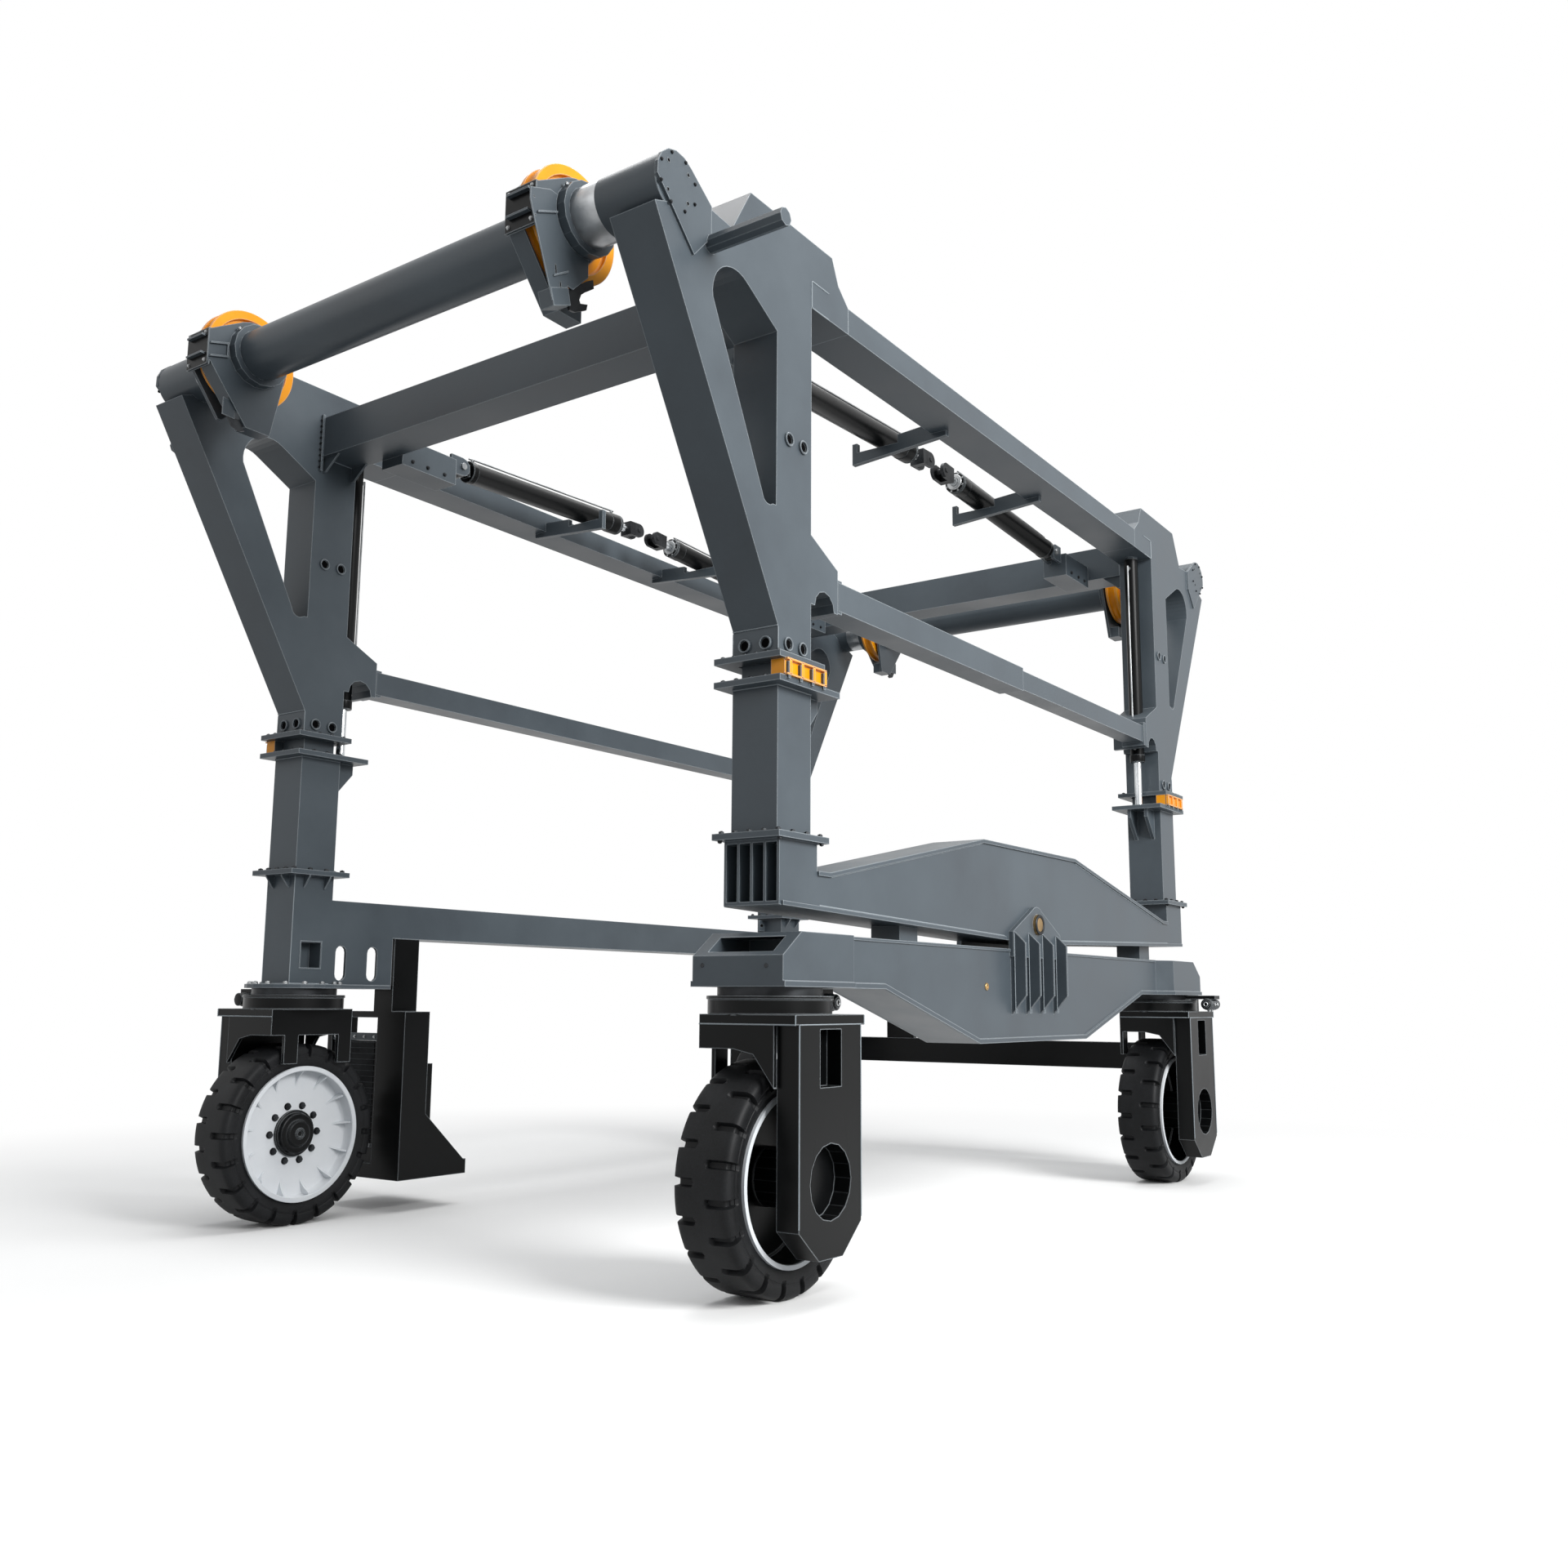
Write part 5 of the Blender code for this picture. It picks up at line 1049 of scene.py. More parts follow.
@dataclass
class CrossTube:
    """Cross tube turned fine, with its end discs and the ground band where a carriage slides."""

    radius: float = 0.160
    half: float = 2.1655
    out: float = TUBE_OUT
    height: float = TUBE_HEIGHT
    band: Span = (1.560, 1.760)

    def build(self, name: str, along: int) -> None:
        """Make one tube in place of its CAD node.

        Args:
            name: front or rear.
            along: its side along the machine.
        """
        centre, r = (along * self.out, self.height), self.radius
        tube = bar(Axis.X, centre, r, -self.half, self.half, 96, 0.004)
        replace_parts(piece(f"tube_skin_{name}", tube, Finish.FRAME, Body.UPPER.value), f"tube_{name}")
        bands = [sleeve(r - 0.004, r + 0.0006, ends, Axis.X, centre)
                 for ends in (self.band, (-self.band[1], -self.band[0]))]
        piece(f"tube_slide_bands_{name}", merged(bands), Finish.STEEL, Body.UPPER.value)


@dataclass
class Sheave:
    """Rope sheave: round rope groove, thick rim, thin web and the hub on the tube."""

    radius: float = 0.320
    half: float = 0.055
    groove: float = 0.035
    rim: float = 0.262
    hub: float = 0.205
    bore: float = 0.1625
    web: float = 0.025
    at: float = CARRIAGE_AT

    def build(self, corner: Corner) -> None:
        """Make one sheave in place of its CAD node.

        Args:
            corner: the corner that it stands at.
        """
        half, web, hub, rim, r = self.half, self.web, self.hub, self.rim, self.radius
        flank = [(self.bore, -half), (hub, -half), (hub, -web - 0.006), (hub + 0.006, -web),
                 (rim - 0.006, -web), (rim, -web - 0.006), (rim, -half + 0.002), (rim + 0.002, -half),
                 (r - 0.003, -half), (r, -half + 0.003)]
        turns = [math.pi * step / 12 for step in range(13)]
        groove = [(r - self.groove * 0.98 * math.sin(t), -self.groove * math.cos(t)) for t in turns]
        profile = flank + groove + [(a, -x) for a, x in reversed(flank)]
        sheave = turned(profile, Axis.X, (corner.along * TUBE_OUT, TUBE_HEIGHT), 128)
        bmesh.ops.translate(sheave, verts=sheave.verts, vec=(corner.across * self.at, 0.0, 0.0))
        made = piece(f"sheave_turned_{corner.name}", sheave, Finish.AMBER, f"sheave_{corner.name}",
                     sharp=40.0)
        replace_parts(made, f"sheave_{corner.name}")


@dataclass
class Hoist:
    """Hoist cylinder: eye, base cap, barrel with ports and pipe, gland, chrome rod and rope clevis."""

    at: float = 1.450
    eye_y: float = 2.180
    height: float = 5.490
    tilt: float = 2.6
    radius: float = 0.085
    start: float = 0.095
    end: float = 1.815
    rod: float = 0.034
    rod_end: float = 1.935
    clevis_end: float = 2.115

    def build(self, corner: Corner) -> None:
        """Make one cylinder, first along +Y from its eye, in place of its CAD node.

        Args:
            corner: the corner that it stands at.
        """
        turn = Matrix.Rotation(math.radians(self.tilt), 4, "X")
        flip = Matrix.Diagonal((corner.across, -corner.along, 1.0, 1.0))
        spot = Matrix.Translation((corner.across * self.at, corner.along * self.eye_y, self.height))
        rows = (("hoist_barrel", self.barrel(), Finish.BLACK, 0.0),
                ("hoist_gland", self.gland(), Finish.ZINC, 0.0),
                ("hoist_rod", [bar(Axis.Y, MIDDLE, self.rod, self.end - 0.004, self.rod_end + 0.002, 48)],
                 Finish.CHROME, 0.0),
                ("hoist_clevis", self.clevis(), Finish.BLACKENED, 0.002),
                ("hoist_pipe", [self.pipe()], Finish.ZINC, 0.0),
                ("hoist_ports", [bolt((0.0, at, self.radius - 0.002), UP, 0.026)
                                 for at in (self.end - 0.075, self.start + 0.054)], Finish.BLACKENED, 0.0015))
        made = [piece(f"{title}_{corner.name}", moved(merged(parts), spot @ flip @ turn), finish,
                      Body.UPPER.value, bevel) for title, parts, finish, bevel in rows]
        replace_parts(made[0], f"hoist_cylinder_{corner.name}")

    def barrel(self) -> list[Solid]:
        """Make the eye, its neck and the barrel with proud end caps.

        Returns:
            The solids.
        """
        r, start, end = self.radius, self.start, self.end
        eye = turned(((0.029, -0.034), (0.066, -0.034), (0.070, -0.030), (0.070, 0.030), (0.066, 0.034),
                      (0.029, 0.034)), Axis.X, MIDDLE, 48)
        neck = plate((-0.033, 0.033), (0.042, start + 0.004), (-0.046, 0.046))
        skin = turned(((0.0, start), (r - 0.004, start), (r, start + 0.004), (r, start + 0.050),
                       (r - 0.002, start + 0.053), (r - 0.0035, start + 0.056), (r - 0.0035, end - 0.130),
                       (r - 0.001, end - 0.127), (r, end - 0.122), (r, end - 0.030), (r - 0.004, end - 0.026),
                       (r - 0.004, end - 0.020), (r, end - 0.018), (r, end - 0.004), (r - 0.005, end),
                       (0.0, end)), Axis.Y, MIDDLE, 72)
        return [eye, neck, skin]

    def gland(self) -> list[Solid]:
        """Make the ring where the rod comes out, and its bolts.

        Returns:
            The solids.
        """
        end = self.end
        ring = turned(((0.036, end - 0.002), (0.064, end - 0.002), (0.064, end + 0.010), (0.060, end + 0.014),
                       (0.036, end + 0.014)), Axis.Y, MIDDLE, 48)
        return [ring] + [bolt((0.073 * math.cos(t), end - 0.001, 0.073 * math.sin(t)), POS_Y, 0.013)
                         for t in EIGHTHS]

    def clevis(self) -> list[Solid]:
        """Make the fork on the rod's end with its pin.

        Returns:
            The solids.
        """
        half, slot, foot, tip = 0.058, 0.030, self.rod_end, self.clevis_end - 0.058
        parts = [plate((-half, half), (foot, foot + 0.058), (-half, half))]
        for side in SIDES:
            cheek = [(foot + 0.055, -half), (tip + 0.013, -half), *arc((tip, 0.0), half, -78, 78, 12),
                     (tip + 0.013, half), (foot + 0.055, half)]
            parts.append(prism(cheek, Axis.X, *sorted((side * slot, side * half))))
        return parts + [bar(Axis.X, (tip, 0.0), 0.020, -half - 0.006, half + 0.006, 32, 0.002)]

    def pipe(self) -> Solid:
        """Make the oil pipe along the barrel's top.

        Returns:
            The solid.
        """
        near, far, end, start = self.radius - 0.004, self.radius + 0.026, self.end, self.start
        route = ((end - 0.075, near), (end - 0.077, self.radius + 0.020), (end - 0.110, far), (1.0, far),
                 (start + 0.090, far), (start + 0.056, self.radius + 0.020), (start + 0.054, near))
        return tube_along(eased([(0.0, y, z) for y, z in route], 10), 0.0075, 12)


@dataclass
class LegTrim:
    """What is added to a leg frame: ring bosses, bolts, the end plate's holes, the lift barrel's skin."""

    face: float = 0.150
    front: float = 0.160
    flange: float = 3.3453
    boss_heights: Span = (3.415, 4.585)
    boss_gap: float = 0.070
    boss_outer: float = 0.040
    boss_inner: float = 0.030
    boss_tall: float = 0.014
    tube: Span = (TUBE_OUT - BASE_HALF, TUBE_HEIGHT)
    lift_u: float = LIFT_OUT
    lift_radius: float = 0.058

    def build(self, corner: Corner) -> None:
        """Dress one leg frame.

        Args:
            corner: the corner that it stands at.
        """
        spots = []
        for z in self.boss_heights:
            for gap in (-self.boss_gap, self.boss_gap):
                spots += [((side * self.face, gap, z), (float(side), 0.0, 0.0)) for side in SIDES]
                spots.append(((gap, self.front, z), POS_Y))
        rings = [boss(*spot, self.boss_outer, self.boss_inner, self.boss_tall) for spot in spots]
        # Near-black discs in the bosses and on the end plate: painted shade for the holes.
        holes = [disc(*spot, self.boss_inner + 0.001, 0.002) for spot in spots]
        holes += [disc(self.on_end(0.112, math.radians(45 + 90 * i)), POS_X, 0.013, 0.0015) for i in range(4)]
        bolts = [bolt(self.on_end(0.146, turn), POS_X, 0.015) for turn in EIGHTHS]
        seats = [(v, u) for v in (-0.185, 0.185) for u in (-0.150, -0.050, 0.050, 0.150, 0.205)]
        seats += [(v, 0.203) for v in (-0.110, -0.037, 0.037, 0.110)]
        bolts += [bolt((v, u, self.flange), UP, 0.024) for v, u in seats]
        r, low, face, front = self.lift_radius, self.flange + 0.002, self.face, self.front
        beads = []
        for v in (-face - 0.001, face + 0.001):
            beads += [weld((v, -0.150, low), (v, 0.160, low), 0.004),
                      weld((v, front, 3.36), (v, front, 3.495), 0.003)]
        beads += [weld((-face, y, z), (face, y, z), 0.004) for y, z in ((front + 0.001, low), (0.164, 3.503))]
        barrel = turned(((r - 0.006, 3.600), (r + 0.005, 3.600), (r + 0.007, 3.604), (r + 0.007, 3.662),
                         (r + 0.004, 3.666), (r + 0.0015, 3.670), (r + 0.0015, 5.452), (r - 0.006, 5.452)),
                        Axis.Z, (0.0, self.lift_u), 64)
        near = self.lift_u - r
        fittings = [bolt((0.0, near, z), NEG_Y, 0.024) for z in (3.72, 5.36)]
        route = ((0.006, 5.36), (0.026, 5.352), (0.030, 5.30), (0.030, 4.5), (0.030, 4.02), (0.028, 3.98))
        fittings.append(tube_along(eased([(0.0, near - u, z) for u, z in route], 8), 0.007, 10))
        fit(corner, Body.UPPER.value,
            ("pin_bosses", rings, Finish.FRAME, 0.0), ("pin_holes", holes, Finish.HOLE_PAINTED_SHADE, 0.0),
            ("leg_bolts", bolts, Finish.BLACKENED, 0.0), ("leg_welds", beads, Finish.WELD_PAINTED_HIGHLIGHT, 0.0),
            ("lift_barrel", [barrel], Finish.BLACK, 0.0), ("lift_fittings", fittings, Finish.ZINC, 0.0))

    def on_end(self, radius: float, turn: float) -> Point:
        """Give a place on the tube's end plate."""
        u, z = self.tube
        return 0.166, u + radius * math.cos(turn), z + radius * math.sin(turn)


@dataclass
class Crossbeams:
    """Crossbeam trim: end gussets, weld beads, joint strips with bolts, clamp bolts and hoist pins."""

    inner: float = 2.790
    outer: float = 3.090
    low: float = 5.370
    top: float = 5.665
    reach: float = 1.870
    pin: Point = (1.45, 2.18, 5.49)

    def build(self, name: str, along: int) -> None:
        """Dress one crossbeam."""
        fit_mirrored(name, self.rows, [(across, along) for across in SIDES])

    def rows(self) -> list[Row]:
        """Make the trim of one end.

        Returns:
            Title, solids at +X and +Y, finish and bevel of each piece.
        """
        low, top, reach, edge = self.low, self.top, self.reach, self.reach - 0.004
        corner = [(reach - 0.17, low + 0.002), (reach, low + 0.002), (reach, low - 0.11),
                  (reach - 0.03, low - 0.11)]
        gussets = [prism(corner, Axis.Y, y, y + 0.015) for y in (self.inner + 0.02, self.outer - 0.035)]
        gussets.append(plate((reach - 0.024, reach - 0.002), (self.outer - 0.002, self.outer + 0.016),
                             (low - 0.110, top + 0.020)))
        beads = [weld((edge, y, low), (edge, y, top)) for y in (self.inner, self.outer)]
        beads += [weld((edge, self.inner, z), (edge, self.outer, z)) for z in (low, top)]
        bolts = [bolt((reach - 0.013, self.outer + 0.016, low - 0.080 + i * 0.044), POS_Y, 0.014)
                 for i in range(9)]
        x, y, z = self.pin
        bolts += [bolt((x + side * 0.110, at, low - 0.025), (float(side), 0.0, 0.0), 0.022)
                  for side in SIDES for at in (2.40, 2.56, 2.70)]
        pin = bar(Axis.X, (y, z), 0.0262, x - 0.082, x + 0.082, 32, 0.003)
        return [("crossbeam_gussets", gussets, Finish.FRAME, 0.0015),
                ("crossbeam_welds", beads, Finish.WELD_PAINTED_HIGHLIGHT, 0.0),
                ("hoist_box_bolts", bolts, Finish.BLACKENED, 0.0),
                ("hoist_pins", [pin], Finish.ZINC, 0.0)]


@dataclass
class SideBeams:
    """Upper beam trim: weld beads and bolted cover plates."""

    face: float = 2.171
    top: float = 5.634

    def build(self, name: str, across: int) -> None:
        """Dress the beams of one side."""
        fit_mirrored(name, self.rows, [(across, along) for along in SIDES])

    def rows(self) -> list[Row]:
        """Make the trim of one half.

        Returns:
            Title, solids at +X and +Y, finish and bevel of each piece.
        """
        x = self.face
        beads = [weld((x, 2.60, z), (x, 2.775, z), 0.004) for z in (5.47, 5.635)]
        beads.append(weld((x, 2.778, 5.472), (x, 2.778, 5.633), 0.004))
        cover = plate((1.96, 2.10), (0.50, 0.84), (self.top, self.top + 0.010))
        bolts = [bolt((u, v, self.top + 0.010), UP, 0.018) for u in (1.98, 2.08) for v in (0.53, 0.81)]
        return [("side_beam_welds", beads, Finish.WELD_PAINTED_HIGHLIGHT, 0.0),
                ("side_beam_covers", [cover], Finish.FRAME, 0.0015),
                ("side_beam_bolts", bolts, Finish.BLACKENED, 0.0)]


@dataclass
class CarriageTrim:
    """Carriage trim: the right face's cheek with its ribs and slots, keeper box, hook plates and screws."""

    at: float = CARRIAGE_AT
    half: float = 0.110
    out: float = TUBE_OUT
    height: float = TUBE_HEIGHT

    def build(self, corner: Corner) -> None:
        """Dress one carriage; its keepers are on the machine's right face, as in the photo.

        Args:
            corner: the corner that it stands at.
        """
        middle = corner.across * self.at
        face = middle + self.half

        def spot(u: float, z: float) -> Span:
            """Turn a place measured out and up from the tube into the frame."""
            return corner.along * (self.out + u), self.height + z

        def slab(points: Outline, low: float, high: float) -> Solid:
            """Make a plate on the right face from (out, up) points."""
            return prism([spot(u, z) for u, z in points], Axis.X, face + low, face + high)

        rows = []
        if corner.across > 0:
            ribs = [slab(((a, low), (a, low + 0.012), (b, high), (b, high - 0.012)), 0.007, proud)
                    for a, low, b, high, proud in ((0.345, -0.122, 0.206, -0.045, 0.023),
                                                   (0.214, -0.412, 0.112, -0.335, 0.021))]
            box = slab(((0.100, -0.420), (0.076, -0.512), (0.200, -0.566), (0.226, -0.474)), -0.085, 0.010)
            turns = [math.radians(a) for a in range(16, -106, -8)]
            collar = [(0.203 * math.cos(t), 0.203 * math.sin(t)) for t in turns]
            cheek = slab([(0.392, 0.002), (0.250, 0.060), *collar, (-0.050, -0.300), (0.061, -0.417),
                          (0.100, -0.415), (0.210, -0.540), (0.372, -0.120), (0.392, -0.060)], 0.001, 0.009)
            hook = slab(((0.098, -0.429), (-0.053, -0.314), (-0.100, -0.284), (-0.107, -0.333),
                         (-0.038, -0.385), (-0.008, -0.412), (0.004, -0.437), (-0.007, -0.461),
                         (-0.062, -0.443), (-0.055, -0.478), (0.032, -0.526), (0.071, -0.530)),
                        -0.016, -0.002)
            # The slots are near-black plates: painted shade for the openings.
            slots = [slab(outline, 0.007, 0.0098) for outline in (
                ((0.205, -0.335), (0.190, -0.335), (0.182, -0.392), (0.197, -0.394)),
                ((0.166, -0.415), (0.152, -0.410), (0.146, -0.462), (0.160, -0.468)))]
            slots += [disc((face + 0.0085, *spot(u, z)), POS_X, 0.008, 0.0012)
                      for u, z in ((0.366, -0.040), (0.352, -0.135))]
            rows += [("carriage_cheek", [cheek], Finish.FRAME, 0.002),
                     ("cheek_slots", slots, Finish.HOLE_PAINTED_SHADE, 0.0)]
        else:
            ribs = [slab(((0.335, low), (0.335, low + 0.012), (0.206, high), (0.206, high - 0.012)),
                         -0.002, 0.018) for low, high in ((-0.036, 0.016), (-0.122, -0.072))]
            ribs.append(slab(((0.206, -0.072), (0.218, -0.072), (0.218, 0.016), (0.206, 0.016)),
                             -0.002, 0.014))
            box = slab(((0.205, -0.335), (0.205, -0.450), (0.115, -0.455), (0.125, -0.345)), -0.024, -0.016)
            hook = slab(((0.175, -0.440), (0.095, -0.450), (0.040, -0.440), (0.028, -0.470),
                         (0.055, -0.478), (0.060, -0.495), (0.038, -0.508), (0.070, -0.522),
                         (0.130, -0.505)), -0.030, -0.018)
        skin = ((0.343, -0.168), (0.343, 0.066), (0.3465, 0.070), (0.3465, -0.172))
        guard = prism([spot(u, z) for u, z in skin], Axis.X, middle - 0.1095, middle + 0.1090)
        screws = []
        for side in SIDES:
            for t in (math.radians(40), math.radians(140)):
                place = (middle + side * (self.half + 0.030), *spot(0.200 * math.cos(t), 0.200 * math.sin(t)))
                screws.append(bolt(place, (0.0, corner.along * math.cos(t), math.sin(t)), 0.019))
        screws += [bolt((middle + x, *spot(0.346, z)), (0.0, corner.along, 0.0), 0.017)
                   for x in (-0.082, 0.082) for z in (0.045, -0.140)]
        rows += [("cover_skin", [guard], Finish.BLACK, 0.001), ("cover_ribs", ribs, Finish.FRAME, 0.0015),
                 ("rope_keeper", [box], Finish.FRAME, 0.002), ("keeper_hooks", [hook], Finish.BLACKENED, 0.0),
                 ("carriage_bolts", screws, Finish.ZINC, 0.0)]
        for title, parts, finish, bevel in rows:
            piece(f"{title}_{corner.name}", merged(parts), finish, Body.UPPER.value, bevel)


# Lower structure


@dataclass
class RockerTrim:
    """Rocker beam trim: weld beads, the bronze plug, the mouth plugs and the pin's turned ends."""

    face: float = 0.185
    edge: float = 0.194
    track: float = TRACK_HALF
    fin_face: float = 2.2365
    plug: Span = (-0.748, 1.604)
    mouth: float = 3.240
    pin_half: float = 0.233
    pin_height: float = 2.040

    def build(self) -> None:
        """Dress the rocker beam on the right."""
        body = Body.BASE.value
        beads = []
        for side in SIDES:
            x = self.track + side * (self.face + 0.0005)
            for along in SIDES:
                beads += [weld((x, along * y1, z1), (x, along * y2, z2), 0.0045) for y1, z1, y2, z2 in (
                    (0.50, 1.858, 2.40, 1.858), (0.87, 1.243, 2.05, 1.573), (2.08, 1.577, 2.40, 1.577))]
            beads.append(weld((x, -0.87, 1.243), (x, 0.87, 1.243), 0.0045))
        for i in range(4):
            for side in SIDES:
                y = -0.026 + (i - 1.5) * 0.228 + side * 0.011
                beads.append(weld((self.fin_face, y, 1.43), (self.fin_face, y, 1.965), 0.004))
        piece("rocker_welds", merged(beads), Finish.WELD_PAINTED_HIGHLIGHT, body)
        low, high = self.track - self.edge, self.track + self.edge
        strips = [plate((low, high), (-y, y), z)
                  for y, z in ((2.405, (1.842, 1.8612)), (0.87, (1.2388, 1.256)))]
        slope = ((0.865, 1.2388), (2.062, 1.5738), (2.405, 1.5738), (2.405, 1.591), (2.058, 1.591),
                 (0.860, 1.2560))
        strips += [prism([(along * y, z) for y, z in slope], Axis.X, low, high) for along in SIDES]
        piece("rocker_flange_edges", merged(strips), Finish.FRAME, body, 0.0025)
        plug = turned(((0.0, 2.2035), (0.020, 2.2035), (0.024, 2.2035), (0.024, 2.2105), (0.021, 2.2125),
                       (0.012, 2.2125), (0.010, 2.2085), (0.0, 2.2085)), Axis.X, self.plug, 48)
        piece("rocker_bronze_plug", plug, Finish.BRONZE, body)
        plugs = [disc((x, way[1] * self.mouth, z), way, 0.012, 0.003)
                 for way in (NEG_Y, POS_Y) for x, z in ((1.795, 1.686), (2.205, 1.681))]
        piece("rocker_mouth_plugs", merged(plugs), Finish.BLACKENED, body)
        ends = [((self.track + way[0] * self.pin_half, 0.0, self.pin_height), way) for way in (NEG_X, POS_X)]
        piece("pin_rings", merged([boss(*end, 0.0705, 0.050, 0.008) for end in ends]), Finish.BLACKENED, body)
        piece("pin_faces", merged([disc(*end, 0.0495, 0.004) for end in ends]), Finish.BRONZE, body)


@dataclass
class PivotTrim:
    """Pivot beam trim: proud flange edges with their welds, and bolts under the column flanges."""

    wide: float = 0.1930
    track: float = TRACK_HALF
    thick: float = 0.026
    top: Outline = ((0.0, 2.5715), (0.76, 2.5715), (2.64, 2.2015), (2.758, 2.2015))
    bottom: Outline = ((3.10, 1.9970), (0.45, 1.9185))

    def build(self) -> None:
        """Dress the pivot beam."""
        strips, bolts, beads = [], [], []
        for along in SIDES:
            for line, thick in ((self.top, -self.thick), (self.bottom, self.thick)):
                outline = [*line, *[(y, z + thick) for y, z in reversed(line)]]
                strips.append(prism([(along * y, z) for y, z in outline], Axis.X, self.track - self.wide,
                                    self.track + self.wide))
            for side in SIDES:
                x = self.track + side * 0.1805
                bolts += [bolt((self.track + side * 0.196, along * (BASE_HALF + u), 2.3505), DOWN, 0.022)
                          for u in (-0.200, 0.200)]
                beads += [weld((x, along * 0.78, 2.538), (x, along * 2.62, 2.176), 0.004),
                          weld((x, along * 0.46, 1.948), (x, along * 2.74, 2.016), 0.004)]
        piece("pivot_flange_edges", merged(strips), Finish.FRAME, Body.BASE.value, 0.002)
        piece("pivot_bolts", merged(bolts), Finish.BLACKENED, Body.BASE.value)
        piece("pivot_welds", merged(beads), Finish.WELD_PAINTED_HIGHLIGHT, Body.BASE.value)


@dataclass
class LeftBaseTrim:
    """Left base trim: foot bolts, flange gussets, window frames, weld beads and an eyed bracket."""

    half_v: float = 0.150
    half_u: float = 0.160
    window: Span = (1.716, 1.890)
    window_half: float = 0.080
    window_rim: float = 0.011

    def build(self, corner: Corner) -> None:
        """Dress one post of the left base.

        Args:
            corner: the corner that it stands at.
        """
        v, u = self.half_v, self.half_u
        turns = [math.radians(12 + 24 * i) for i in range(15)]
        bolts = [bolt((0.296 * math.cos(t), 0.296 * math.sin(t), 1.602), UP, 0.030) for t in turns]
        flat = [(0.0, 2.3505), (0.066, 2.3505), (0.066, 2.338), (0.008, 2.262), (0.0, 2.262)]
        turns = [math.radians(a) for a in range(0, 91, 15)]
        hollow = [*flat[:2], *[(0.066 - 0.058 * math.sin(t), 2.262 + 0.080 * math.cos(t)) for t in turns],
                  flat[-1]]
        gussets = []
        for gap in (-0.085, 0.085):
            gussets += [prism([(u - 0.001 + a, z) for a, z in flat], Axis.X, gap - 0.006, gap + 0.006),
                        prism([(-v + 0.001 - a, z) for a, z in flat], Axis.Y, gap - 0.006, gap + 0.006)]
        gussets.append(prism([(v - 0.001 + a, z) for a, z in hollow], Axis.Y, -0.006, 0.006))
        (low, high), wide, rim = self.window, self.window_half, self.window_rim
        x = (-v - 0.004, -v + 0.002)
        frames = [plate(x, (-wide - rim, wide + rim), z) for z in ((high, high + rim), (low - rim, low))]
        frames += [plate(x, y, (low, high)) for y in ((-wide - rim, -wide), (wide, wide + rim))]
        beads = []
        for side in SIDES:
            beads += [weld((side * v, -u, 1.606), (side * v, u, 1.606)),
                      weld((-v, side * u, 1.606), (v, side * u, 1.606)),
                      weld((side * v, u, 1.61), (side * v, u, 2.345), 0.003)]
        bracket = plate((0.060, 0.078), (-u - 0.100, -u + 0.002), (2.222, 2.333))
        # The eye is a near-black disc on each face of the bracket: painted shade for the hole.
        holes = []
        for face, way in ((0.0605, -1.0), (0.0775, 1.0)):
            spot = Matrix.Translation((face - way * 0.0003, -u - 0.055, 2.278))
            holes.append(moved(disc((0.0, 0.0, 0.0), POS_X, 0.020, 0.0012),
                               spot @ Matrix.Diagonal((way, 1.5, 1.0, 1.0))))
        fit(corner, Body.BASE.value,
            ("foot_bolts", bolts, Finish.ZINC, 0.0), ("post_gussets", gussets, Finish.FRAME, 0.0015),
            ("window_frame", frames, Finish.FRAME, 0.0015), ("post_welds", beads, Finish.WELD_PAINTED_HIGHLIGHT, 0.0),
            ("post_bracket", [bracket], Finish.FRAME, 0.003), ("post_bracket_eye", holes, Finish.HOLE_PAINTED_SHADE, 0.0))


@dataclass
class ColumnTrim:
    """Column trim: flange bolts, weld beads, the stop block's skin and the chromed lift rod."""

    foot: float = 2.385
    head: float = 3.215
    rod: float = 0.032
    lift_u: float = LIFT_OUT

    def build(self, corner: Corner) -> None:
        """Dress one column.

        Args:
            corner: the corner that it stands at.
        """
        seats = [(v, u, self.foot, 0.028) for v in (-0.186, 0.186) for u in (-0.200, -0.067, 0.067, 0.200)]
        seats += [(v, u, self.foot, 0.028) for u in (-0.202, 0.202) for v in (-0.095, 0.0, 0.095)]
        seats += [(-0.186, u, self.head, 0.026) for u in (-0.130, -0.020, 0.090, 0.200)]
        seats += [(v, 0.202, self.head, 0.026) for v in (-0.095, 0.0, 0.095)]
        bolts = [bolt((v, u, z), UP, flats) for v, u, z, flats in seats]
        beads = [weld((-0.150, 0.1605, 3.177), (0.150, 0.1605, 3.177), 0.0045)]
        for side in SIDES:
            v, u = side * 0.1505, side * 0.1605
            beads += [weld((v, -0.160, 2.388), (v, 0.160, 2.388), 0.0045),
                      weld((-0.150, u, 2.388), (0.150, u, 2.388), 0.0045),
                      weld((v, -0.160, 3.177), (v, 0.160, 3.177), 0.0045)]
        wide, proud = (-0.1915, 0.1915), (0.2100, 0.2365)
        block = [plate((0.1265, 0.2165), wide, (3.2160, 3.3100)), plate(proud, wide, (3.2160, 3.2260)),
                 plate(proud, wide, (3.3000, 3.3100))]
        for i in range(4):
            u = -0.170 + i * 0.34 / 3
            block.append(plate(proud, (u - 0.0215, u + 0.0015), (3.2200, 3.3050)))
        rod = bar(Axis.Z, (0.0, self.lift_u), self.rod + 0.0006, self.head + 0.0005, 5.199, 48)
        fit(corner, Body.BASE.value,
            ("column_bolts", bolts, Finish.BLACKENED, 0.0), ("column_welds", beads, Finish.WELD_PAINTED_HIGHLIGHT, 0.0),
            ("stop_block", block, Finish.AMBER, 0.0012), ("lift_rod", [rod], Finish.CHROME, 0.0))


